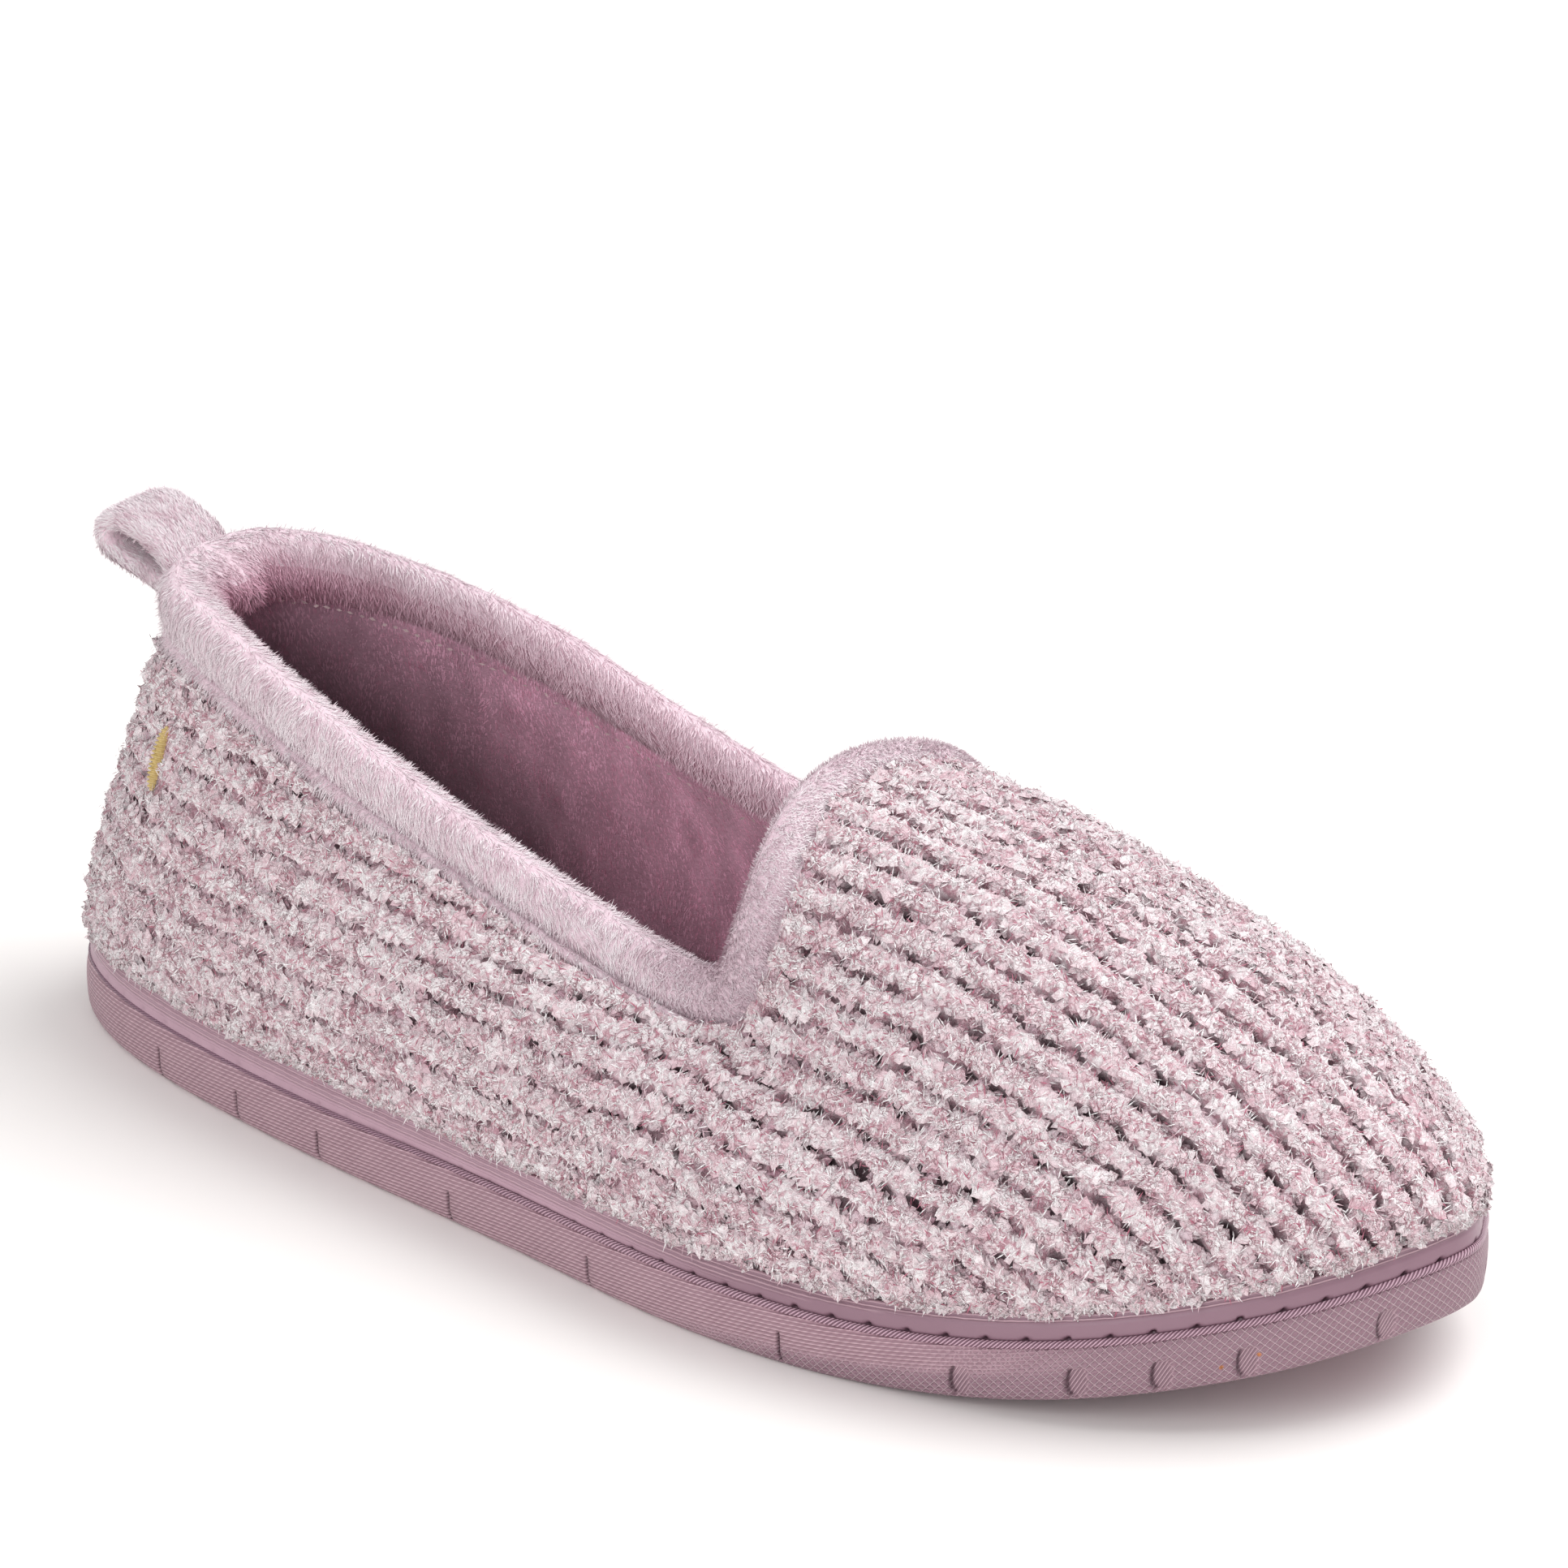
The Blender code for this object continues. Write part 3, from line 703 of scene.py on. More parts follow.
# Way along the ribs: round the heel with the sole's edge, along the quarters with x, over the vamp with its
# profile.
profile = knit_face[::-1, KNIT_STEPS]
knit_x = knit_face[..., 0]
vamp_way = np.interp(knit_x, np.maximum.accumulate(profile[:, 0]), arc(profile)) + profile[0, 0]
edge_way = np.interp(knit_half, table_places, table_length)
tack_off = np.concatenate([edge_way, np.full(KNIT_STEPS - 1, np.inf)]) - TACK_EDGE_WAY
edge_way -= np.interp(40.0, knit_face[0, :KNIT_STEPS + 1, 0], edge_way) - 40.0
edge_way = np.concatenate([edge_way, edge_way[-2:0:-1]])
heel_share = 1.0 - ease(knit_face[0, :, 0], 25.0, 60.0)
along_ribs = np.where(knit_x > profile[0, 0], vamp_way, knit_x)
along_ribs = heel_share * edge_way + (1.0 - heel_share) * along_ribs

# Stitches: holes between the ribs, staggered from valley to valley, and lobes of the yarn along each rib.
rib_chart = np.stack([along_ribs, RIB_PITCH * ribs, np.zeros(ribs.shape)], -1)
ribs = ribs + 0.1 * cloud(knit_face, 9.0, 13) + 0.15 * cloud(rib_chart, 2.7, 14)
valley = np.floor(ribs)
nearest = np.round(ribs)
from_crest = 2.0 * np.abs(ribs - nearest)
stagger = np.random.default_rng(5).random(64)
valley_row = valley.astype(int) % 64
stitch_count = along_ribs / STITCH + stagger[valley_row] + 0.12 * cloud(knit_face, 7.0, 15)
openness = np.random.default_rng(6).uniform(0.05, 1.0, (64, 128)) ** 0.6
open_here = openness[valley_row, np.floor(stitch_count).astype(int) % 128]
hole_along = (stitch_count % 1.0 - 0.5) * STITCH
hole_across = (ribs - valley - 0.5) * RIB_PITCH
vamp_share = ease(knit_x, 100.0, 160.0)
hole_size = ((hole_along / (1.1 + 0.8 * vamp_share)) ** 2 + (hole_across / (0.85 + 0.2 * vamp_share)) ** 2
             + 0.45 * cloud(knit_face, 1.3, 16))
holes = (1.0 - ease(hole_size, 0.35, 1.5)) * open_here
near_hole = np.exp(-((hole_along / 1.7) ** 2)) * open_here
bridges = 0.35 * ease(cloud(rib_chart, 2.4, 17), -0.1, 0.4) * (1.0 - near_hole)
crest = 0.5 + 0.5 * np.cos(np.pi * from_crest)
crest = crest + bridges * (1.0 - crest)
trough = ease(from_crest, 0.5, 1.0) * (1.0 - bridges)
lobe_turn = along_ribs / STITCH + 0.9 * (ribs - nearest) + stagger[nearest.astype(int) % 64]
lobe_turn = 2.0 * np.pi * lobe_turn
lobes = (0.24 * np.cos(lobe_turn) + 0.14 * np.cos(2.0 * lobe_turn + 1.0)) * (1.0 - 0.6 * trough)
clumps = 0.35 * cloud(knit_face, 2.8, 11) + 0.25 * cloud(knit_face, 1.4, 12)
relief = RELIEF - 0.1 * vamp_share - 0.4 * ease(-knit_up, -14.0, -2.0) * (1.0 - vamp_share)
proud = relief * (crest**0.8 + lobes - 0.6 * trough * near_hole - 0.35) - STITCH_HOLE_DEPTH * holes + clumps

# The knit is tucked into the lip below, laps the binding at the throat, and is pressed down at the tack.
tucked = ease(knit_up, 0.0, TUCK)
proud = proud * tucked - TUCK_DEPTH * (1.0 - tucked)
lapped = at_lap * ease(knit_up - knit_up[-1], -THROAT_LAP - 1.5, -THROAT_LAP)
proud = proud + lapped * np.maximum(0.4 - proud, 0.0)
holes = holes * (1.0 - lapped)
by_tack = ease(knit_up, TACK_HEIGHTS[0] - 1.0, TACK_HEIGHTS[0])
by_tack *= ease(-knit_up, -TACK_HEIGHTS[1] - 1.0, -TACK_HEIGHTS[1])
pressed = np.exp(-(((tack_off - 1.0) / 2.6) ** 4)) * by_tack
under_tack = np.exp(-((tack_off / 2.0) ** 4)) * by_tack
knit_grid = knit_face + (proud * (1.0 - pressed))[..., None] * knit_out

back_shares = np.linspace(1.0, 0.0, KNIT_BACK_ROWS)[:, None] * knit_end
back_grid = face(knit_places, back_shares) - KNIT_THICKNESS * face_normals(knit_places, back_shares)
knit_all = np.concatenate([knit_grid, back_grid])


def wisps(name):
    """Node group: thin curled lines where soft noises pass their middle value, and the height of fibres."""
    group = new_group(name, {}, {"Lines": "Float", "Height": "Float"})
    leave = group.nodes.new("NodeGroupOutput").inputs
    curls = []
    for fineness, width in ((520.0, 0.035), (900.0, 0.03)):
        middle = maths(group, "SUBTRACT", noise(group, fineness, 1.5, distortion=0.7), 0.5)
        share = maths(group, "DIVIDE", maths(group, "ABSOLUTE", middle), width)
        curls.append(maths(group, "SUBTRACT", 1.0, maths(group, "SMOOTH_MIN", share, 1.0, 0.3)))
    zone = spread(group, noise(group, 210.0, 2.0), 0.4, 0.6, 0.25)
    lines = times(group, maths(group, "MAXIMUM", *curls), zone)
    fibres = noise(group, 1500.0, 4.0, distortion=1.6)
    group.links.new(maths(group, "MAXIMUM", lines, 0.0), leave["Lines"])
    group.links.new(maths(group, "MULTIPLY_ADD", lines, -0.5, fibres), leave["Height"])
    return group


wisp_group = wisps("chenille_wisps")
yarn, tree, shader = new_material("chenille_ground", 0.95, 0.15)
wisp = add_node(tree, "ShaderNodeGroup", {"node_tree": wisp_group}).outputs
flecks = spread(tree, noise(tree, 700.0, 3.0, 0.65), 0.4, 0.6)
# Painted shade: the valleys between the ribs get a darker mauve, and the stitch holes a near black.
colour = layered(tree, mixed(tree, flecks, srgb(206, 162, 173), srgb(240, 228, 232)), (
    (wisp["Lines"], 1.0, (180, 110, 128)), (attribute(tree, "trough"), 0.7, (160, 116, 130)),
    (attribute(tree, "holes"), 1.0, (70, 44, 54)),
))
finish(tree, shader, colour, wisp["Height"], strength=0.9, depth=0.0006)
knit = make_piece("knit_upper", knit_all, ring_quads(len(knit_all), knit_columns, True), yarn, "upper")
set_values(knit, "holes", holes)
set_values(knit, "trough", trough)
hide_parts("upper")

# Chenille pile: the short tufts that stand out of the yarn, white with rose fibres between them. They are
# densest on the ribs, thin out in the valleys, and hang as a fringe over the sole's lip.
TUFTS = (
    # name, seed, number, least and most size
    ("chenille_tufts_a", 21, 13000, (0.8, 1.35)),
    ("chenille_tufts_b", 22, 26000, (0.45, 0.85)),
)
TUFT_SIDES = 6
TUFT_LEAN = 22.0
TUFT_HEIGHTS = (0.3, 0.65)
RIM_SINK = 0.42
LOOSE_FIBRES = 40000
FIBRE_LEANS = (66.0, 88.0)
FIBRE_LENGTHS = (1.0, 2.1)
FIBRE_WIDTHS = (0.14, 0.26)
FRINGE = 5000
FRINGE_LEAN = 45.0
FRINGE_SIZES = (0.4, 0.7)
VALLEY_SHADE = np.array((0.3, 0.5, 0.42))
ROSE_SHARE = 0.16
TINTED_SHARE = 0.4
PILE_SOFTNESS = 0.6


def pile_tint(red, green, blue):
    """Linear colour without its alpha, as an array."""
    return np.array(srgb(red, green, blue)[:3])


WHITE = pile_tint(252, 249, 250)
BLUSH = pile_tint(232, 202, 210)
ROSE = pile_tint(188, 112, 132)


def closed_round(values):
    """Grid with its first column repeated at the end, so its last quads close the ring."""
    return np.concatenate([values, values[:, :1]], 1)


def scatter(points, count, chooser, weight):
    """Random spots on a grid, in proportion to each quad's area times its weight."""
    diagonals = np.cross(points[1:, 1:] - points[:-1, :-1], points[1:, :-1] - points[:-1, 1:])
    area = np.linalg.norm(diagonals, axis=2)
    total = np.cumsum((area * weight[:-1, :-1]).ravel())
    draw = (np.arange(count) + chooser.random(count)) / count * total[-1]
    row, column = np.divmod(np.searchsorted(total, draw), area.shape[1])
    return row, column, chooser.random(count), chooser.random(count)


def at_spots(values, spots):
    """Values of a grid at scattered spots, joined linearly inside each quad."""
    row, column, up, along = spots
    up = up.reshape(-1, *[1] * (values.ndim - 2))
    along = along.reshape(up.shape)
    low = (1.0 - along) * values[row, column] + along * values[row, column + 1]
    high = (1.0 - along) * values[row + 1, column] + along * values[row + 1, column + 1]
    return (1.0 - up) * low + up * high


def leaning(out, least, most, chooser):
    """Directions tilted off the surface's own by a random angle in degrees, to a random side."""
    side = chooser.normal(size=out.shape)
    side = unit(side - (side * out).sum(1, keepdims=True) * out)
    tilt = np.radians(chooser.uniform(least, most, len(out)))[:, None]
    return np.cos(tilt) * out + np.sin(tilt) * side


def dress(piece, tints, normals):
    """Gives a pile its tints and its soft shading normals, point by point."""
    colours = np.ones((len(tints), 4))
    colours[:, :3] = tints
    layer = piece.data.color_attributes.new("tint", "FLOAT_COLOR", "POINT")
    layer.data.foreach_set("color", colours.ravel())
    piece.data.normals_split_custom_set_from_vertices(normals.tolist())


def make_tufts(name, middle, axis, radius, height, top_tint, rim_tint, material, slot):
    """Many low caps: each is an uneven ring round its axis and a top, shaded as a small dome."""
    count, sides = radius.shape
    across = unit(np.cross(axis, (0.3, 0.5, 0.8)))
    turn = full_turn(sides)[:, None]
    radial = np.cos(turn) * across[:, None] + np.sin(turn) * np.cross(axis, across)[:, None]
    ring = middle[:, None] + radius[..., None] * radial - RIM_SINK * axis[:, None]
    points = np.concatenate([ring, (middle + height[:, None] * axis)[:, None]], 1)
    first = (sides + 1) * np.arange(count)[:, None]
    around = np.arange(sides)
    tops = np.broadcast_to(first + sides, (count, sides))
    faces = np.stack([first + around, first + (around + 1) % sides, tops], -1)
    piece = make_piece(name, points, faces.reshape(-1, 3), material, slot)
    normals = np.concatenate([unit(axis[:, None] + 0.4 * radial), axis[:, None]], 1)
    tints = np.concatenate([rim_tint, top_tint[:, None]], 1)
    dress(piece, tints.reshape(-1, 3), normals.reshape(-1, 3))


def make_blades(name, root, way, out, length, width, root_tint, tip_tint, softness, material, slot):
    """Many kite-shaped blades: each has its root, two sides at mid length square to its way, and a tip.

    Shading normals lean from the blade's own face towards the cloth's by softness, so the pile looks soft.
    """
    side = unit(np.cross(way, out))
    own = unit(np.cross(side, way))
    length = length[:, None]
    middle = root + 0.5 * length * way
    side = 0.5 * width[:, None] * side
    points = np.stack([root, middle + side, root + length * way, middle - side], 1)
    piece = make_piece(name, points, np.arange(4 * len(root)).reshape(-1, 4), material, slot)
    belly = 0.4 * root_tint + 0.6 * tip_tint
    normals = unit(softness * out + (1.0 - softness) * own)
    tints = np.stack([root_tint, belly, tip_tint, belly], 1)
    dress(piece, tints.reshape(-1, 3), np.repeat(normals, 4, 0))


chenille, tree, shader = new_material("chenille_pile", 1.0, 0.3, 0.1)
wisp = add_node(tree, "ShaderNodeGroup", {"node_tree": wisp_group}).outputs
colour = layered(tree, attribute(tree, "tint", "Color"), ((wisp["Lines"], 0.8, (186, 116, 134)),))
finish(tree, shader, colour, wisp["Height"], strength=0.8, depth=0.0005)
tuft_grid = closed_round(knit_grid)
tuft_out = closed_round(knit_out)
tuft_weight = (1.0 - 0.8 * trough) * (1.0 - holes) ** 2 * ease(knit_up, 0.5, 1.6) * (1.0 - under_tack)
tuft_weight = closed_round(tuft_weight)
fringe_weight = closed_round(ease(knit_up, 0.8, 1.4) * (1.0 - ease(knit_up, 2.0, 3.0)))


def on_knit(spots):
    """Points of the knit at scattered spots, and its outward directions there."""
    return at_spots(tuft_grid, spots), unit(at_spots(tuft_out, spots))


for name, seed, count, sizes in TUFTS:
    chooser = np.random.default_rng(seed)
    spots = scatter(tuft_grid, count, chooser, tuft_weight)
    middle, out = on_knit(spots)
    # Painted shade: tufts in the valleys between the ribs are darker and more mauve.
    painted_shade = 1.0 - VALLEY_SHADE * at_spots(closed_round(trough), spots)[:, None]
    axis = leaning(out, 0.0, TUFT_LEAN, chooser)
    size = chooser.uniform(*sizes, count)
    long_way = np.cos(2.0 * (full_turn(TUFT_SIDES) - chooser.uniform(0.0, np.pi, (count, 1))))
    radius = size[:, None] * (1.0 + 0.35 * long_way) * chooser.uniform(0.75, 1.25, (count, TUFT_SIDES))
    height = size * chooser.uniform(*TUFT_HEIGHTS, count)
    blush = 0.15 + 0.8 * cloud(middle, 2.6, 31) + 0.3 * chooser.normal(size=count)
    rosy = 0.15 + 0.6 * cloud(middle, 1.8, 32)[:, None] + 0.25 * chooser.normal(size=radius.shape)
    top = (WHITE + (BLUSH - WHITE) * np.clip(blush, 0.0, 1.0)[:, None]) * painted_shade
    rim = (BLUSH + (ROSE - BLUSH) * np.clip(rosy, 0.0, 1.0)[..., None]) * painted_shade[:, None]
    make_tufts(name, middle, axis, radius, height, top, 0.5 * (rim + top[:, None]), chenille, "upper")

chooser = np.random.default_rng(23)
root, out = on_knit(scatter(tuft_grid, LOOSE_FIBRES, chooser, tuft_weight))
way = leaning(out, *FIBRE_LEANS, chooser)
pick = chooser.random(LOOSE_FIBRES)[:, None]
tip = np.where(pick < ROSE_SHARE, ROSE, np.where(pick < TINTED_SHARE, BLUSH, WHITE))
root = root + chooser.uniform(0.15, 0.5, (LOOSE_FIBRES, 1)) * out
lengths = chooser.uniform(*FIBRE_LENGTHS, LOOSE_FIBRES)
widths = chooser.uniform(*FIBRE_WIDTHS, LOOSE_FIBRES)
make_blades("chenille_fibres", root, way, out, lengths, widths, 0.92 * tip, tip, PILE_SOFTNESS, chenille,
            "upper")

chooser = np.random.default_rng(24)
spots = scatter(tuft_grid, FRINGE, chooser, fringe_weight)
root, out = on_knit(spots)
down = unit(at_spots(-np.gradient(tuft_grid, axis=0), spots))
hang = np.clip(0.2 + 2.2 * cloud(root, 2.4, 33), 0.0, 2.2)[:, None] * chooser.random((FRINGE, 1)) ** 0.5
axis = leaning(unit(out + 0.6 * down), 0.0, FRINGE_LEAN, chooser)
size = chooser.uniform(*FRINGE_SIZES, FRINGE)
radius = size[:, None] * chooser.uniform(0.7, 1.3, (FRINGE, TUFT_SIDES))
top = WHITE + (BLUSH - WHITE) * chooser.random(FRINGE)[:, None] ** 2
rim = np.repeat(0.5 * (top + BLUSH)[:, None], TUFT_SIDES, 1)
make_tufts("chenille_fringe", root + hang * down + 0.3 * out, axis, radius, 1.1 * size, top, rim, chenille,
           "upper")

# Lining: short mauve plush that backs the knit, from the binding's inner edge down to the insole. Its nap
# lies downwards, and painted shade makes it darkest deep in the heel, with a random mottle of tone.
WALL = 3.5
LINING_DROP = 5.0
LINING_ROWS = 25
LINING_STEPS = 200
LINING_THICKNESS = 0.7
LINING_BLADES = 36000
LINING_NAP = 1.8
LINING_LIFT = 0.12
LINING_BLADE_WIDTH = 0.26
LINING_TINT = np.array((0.84, 0.54, 0.67))
FUZZ_SOFTNESS = 0.1
FUZZ_RISE = 2.0
DEEP_NAP = pile_tint(221, 197, 206)
PALE_NAP = pile_tint(247, 238, 242)

lining_places = even_places(knit_way, LINING_STEPS)
lining_columns = len(lining_places)
lining_end = share_at_drop(lining_places, np.full((1, lining_columns), LINING_DROP))
lining_shares = np.linspace(1.0, 0.0, LINING_ROWS)[:, None] * lining_end
lining_face = face(lining_places, lining_shares)
lining_out = face_normals(lining_places, lining_shares)
lining_front = lining_face - (WALL + 0.25 * cloud(lining_face, 9.0, 41)[..., None]) * lining_out
lining_back = (lining_face - (WALL - LINING_THICKNESS) * lining_out)[::-4]
lining_all = np.concatenate([lining_front, lining_back])
lining_cloth = plush_material("lining_plush", srgb(160, 118, 136), srgb(200, 160, 178), 1700.0, 0.3, "painted_shade")
lining_quads = ring_quads(len(lining_all), lining_columns, True)
lining = make_piece("lining", lining_all, lining_quads, lining_cloth, "insole")
# Painted shade: the lining's colour is scaled down towards the heel and the bottom, where shade falls, times
# a random mottle of tone.
painted_lining_shade_and_mottle = 0.17 + 1.34 * ease(lining_all[..., 0] + 1.1 * (lining_all[..., 2] - 50.0), 0.0, 75.0)
painted_lining_shade_and_mottle *= 1.0 + 0.22 * cloud(lining_all * (1.0, 1.0, 0.35), 3.0, 43)
set_values(lining, "painted_shade", painted_lining_shade_and_mottle)

nap_pile, tree, shader = new_material("nap_pile", 1.0, 0.3, 0.1)
finish(tree, shader, attribute(tree, "tint", "Color"), noise(tree, 5000.0, 3.0), strength=0.7, depth=0.0003)


def brush(name, points, out, nap, weight, shade, streak, grain, count, seed, length, width, lift, fuzz, slot):
    """Pile of fine blades on a grid. Each lies along the nap, lifted off the cloth, and bends with others.

    The more they stand, the more they splay. A share of them, the fuzz, is shorter and stands upright. Shade
    darkens the tints from place to place, and length and lift change too. The tints spread by streaks, drawn
    out upwards, and by a grain from blade to blade.
    """
    chooser = np.random.default_rng(seed)
    spots = scatter(points, count, chooser, weight)
    root = at_spots(points, spots)
    surface = unit(at_spots(out, spots))
    drift = np.stack([cloud(root, 1.6, seed + k) for k in range(1, 4)], -1)
    sway = np.stack([cloud(root, 5.0, seed + k) for k in range(4, 7)], -1)
    stand = at_spots(lift, spots)[:, None]
    upright = chooser.random((count, 1)) < fuzz
    splay = (0.05 + 0.8 * stand) * chooser.normal(size=root.shape)
    way = unit(unit(at_spots(nap, spots)) + 0.35 * drift + 0.35 * sway + splay)
    rise = np.where(upright, FUZZ_RISE, stand)
    way = unit(way - (way * surface).sum(1, keepdims=True) * surface + rise * surface)
    streaks = streak * cloud(root * (1.0, 1.0, 0.4), 1.8, seed + 7) + grain * chooser.normal(size=count)
    mix = np.clip(0.65 + streaks, -0.6, 1.0)[:, None]
    tip = (DEEP_NAP + (PALE_NAP - DEEP_NAP) * mix) * at_spots(shade, spots)
    lengths = at_spots(length, spots) * chooser.uniform(0.7, 1.2, count) * (1.0 - 0.4 * upright[:, 0])
    widths = width * chooser.uniform(0.7, 1.3, count)
    softness = np.where(upright, FUZZ_SOFTNESS, PILE_SOFTNESS)
    make_blades(name, root - 0.1 * surface, way, surface, lengths, widths, 0.88 * tip, tip, softness,
                nap_pile, slot)


pile_grid = closed_round(lining_front)
pile_weight = 1.0 - 0.97 * ease(pile_grid[..., 0], 140.0, 165.0)
# The lining's blades take the same painted shade.
pile_tone = LINING_TINT * closed_round(painted_lining_shade_and_mottle[:LINING_ROWS])[..., None]
pile_ones = np.ones(pile_grid.shape[:2])
brush("lining_nap", pile_grid, closed_round(-lining_out), np.gradient(pile_grid, axis=0), pile_weight,
      pile_tone, streak=0.9, grain=0.35, count=LINING_BLADES, seed=71, length=LINING_NAP * pile_ones,
      width=LINING_BLADE_WIDTH, lift=LINING_LIFT * pile_ones, fuzz=0.0, slot="insole")

# Collar binding: a band of long-napped plush folded over a soft cord at the top line. It is stitched through
# in a crease below the roll and lies flat under it on the knit.
BINDING = (
    # drop below the top line, way out from the knit's face
    (11.5, -1.2), (11.3, -0.1), (10.2, 0.15), (9.1, -0.05), (8.4, -0.75), (7.6, 0.1), (6.4, 1.1), (3.2, 2.0),
    (-0.4, 1.9), (-3.0, 0.6), (-3.9, -1.5), (-3.0, -3.8), (0.4, -5.5), (3.6, -5.2), (6.2, -4.3), (7.0, -3.7),
    (4.8, -3.9), (0.6, -3.9), (0.6, -1.2), (6.3, -1.2),
)
BINDING_FRONT = 15
FLAT = -1.2
CREASE_DROP = 8.5
INNER_ROWS = (30, 37)
PARTING_ROWS = (23, 33)
GLOW_ROWS = (23, 32)
PROFILE_STEPS = 3
BINDING_STEPS = 180
NAP_BLADES = 84000
NAP_WIDTH = 0.17
NAP_LENGTH = 2.3
NAP_LIFT = 0.16
THROAT_NAP_CUT = 1.0
THROAT_NAP_LIFT = 0.34


def on_face(places, drops, outs):
    """Rows below the top line by drops and out from the face; a drop below zero goes straight past the top.

    The collar's shares stretch the section: its crest, what lies outside the face and inside it, drops and
    crease.
    """
    crest_share, outer, inner, width, crease, lowered = collar_shares(places)
    shares = share_at_drop(places, np.maximum(drops, 0.0)[:, None] * width + lowered)
    end = np.ones(len(places))
    rising = unit(face(places, end)[0] - face(places, end - 0.01)[0])
    beyond = (np.maximum(-drops, 0.0)[:, None] * crest_share)[..., None] * rising
    outs = outs[:, None]
    inwards = np.maximum(outs, FLAT) * crease + np.minimum(outs - FLAT, 0.0) * inner
    ways = np.where(outs > 0.0, outs * outer, inwards)
    return face(places, shares) + ways[..., None] * face_normals(places, shares) + beyond


binding_places = even_places(knit_way, BINDING_STEPS)
binding_rows = len(BINDING) * PROFILE_STEPS
binding_section = closed_spline(BINDING, np.arange(binding_rows) / PROFILE_STEPS)
binding_grid = on_face(binding_places, binding_section[:, 0], binding_section[:, 1])
binding_out = unit(np.cross(np.roll(binding_grid, -1, 1) - np.roll(binding_grid, 1, 1),
                            np.roll(binding_grid, -1, 0) - np.roll(binding_grid, 1, 0)))
binding_grid = binding_grid + 0.18 * cloud(binding_grid, 5.0, 42)[..., None] * binding_out
collar_cloth = plush_material("collar_plush", srgb(212, 184, 196), srgb(234, 213, 222), 1300.0, 0.4)
# The band's inner rows take a darker copy of the same plush: painted shade.
shaded_inner_cloth = plush_material("inner_plush_painted_shade", srgb(172, 128, 144), srgb(204, 162, 178), 1300.0, 0.4)
binding_size = (binding_rows, len(binding_places), True)
binding = make_piece("collar_roll", binding_grid, ring_quads(*binding_size), collar_cloth, "collar_binding")
binding.data.materials.append(shaded_inner_cloth)
inside = corners(*binding_size)[0][:, 0] >= INNER_ROWS[1] - 2
binding.data.polygons.foreach_set("material_index", inside.astype(int))
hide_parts("collar_binding")

# Nap of the band: parted along the roll, shorter and standing at the throat, darker on the inside in painted
# shade.
front_rows = BINDING_FRONT * PROFILE_STEPS
row_numbers = np.arange(front_rows)[:, None]
nap_grid = closed_round(binding_grid[:front_rows])
nap_ones = np.ones(nap_grid.shape[:2])
top_ring = closed_round(wall_lines(binding_places)[3][None])
at_throat = ease(top_ring[..., 0], 120.0, 138.0)
throat_top = ease(top_ring[..., 2], 58.0, 71.0)
at_heel = 1.0 - ease(top_ring[..., 0], 20.0, 45.0)
left_share = closed_round(ease(binding_places, HALF_ROUND - 1.0, HALF_ROUND + 1.0)[None])
far_front = ease(top_ring[..., 0], 30.0, 80.0) * left_share
parting = 2.0 * ease(row_numbers, *PARTING_ROWS)[..., None] - 1.0
slant = (0.2 - 0.65 * left_share)[..., None]
nap = parting * unit(np.gradient(nap_grid, axis=0)) + slant * unit(np.gradient(nap_grid, axis=1))
drops = binding_section[:front_rows, :1]
outside = binding_section[:front_rows, 1:] > -2.0
crease = np.exp(-((drops - CREASE_DROP) / 0.5) ** 2) * outside
nap_weight = (1.0 - 0.7 * crease) * (1.0 + 0.8 * at_throat)
nap_weight = nap_weight * (1.0 - ease(drops, 8.6, 9.4) * outside * at_throat)
# Painted shade darkens the band's inner rows, most at the heel and least on the far side, and the lower
# throat; painted light brightens the throat's top rim and a painted warm lift tints the far band's inner
# rows.
inner = ease(row_numbers + 0.8 * at_heel, *INNER_ROWS) * (1.0 + 0.3 * at_heel - 0.85 * far_front)
throat_shade = at_throat * (1.0 - 1.5 * throat_top)
painted_band_light_and_shade = 1.0 - inner[..., None] * (0.2, 0.42, 0.34) - throat_shade[..., None] * (0.14, 0.2, 0.17)
painted_band_light_and_shade += (far_front * ease(row_numbers, *GLOW_ROWS))[..., None] * (0.1, -0.03, 0.02)
brush("collar_nap", nap_grid, closed_round(binding_out[:front_rows]), nap, nap_weight, painted_band_light_and_shade, streak=0.4,
      grain=0.4, count=NAP_BLADES, seed=51, length=(NAP_LENGTH - THROAT_NAP_CUT * at_throat) * nap_ones,
      width=NAP_WIDTH, lift=(NAP_LIFT + THROAT_NAP_LIFT * at_throat) * nap_ones, fuzz=0.2,
      slot="collar_binding")

# Seam stitches: the row of pale thread on the inside that sews the binding's inner edge to the lining. Each
# stitch lies along the seam, a little askew.
SEAM_STITCHES = 190
SEAM_DROP = 6.6
SEAM_PROUD = 1.3
SEAM_THREAD = pile_tint(238, 216, 216)

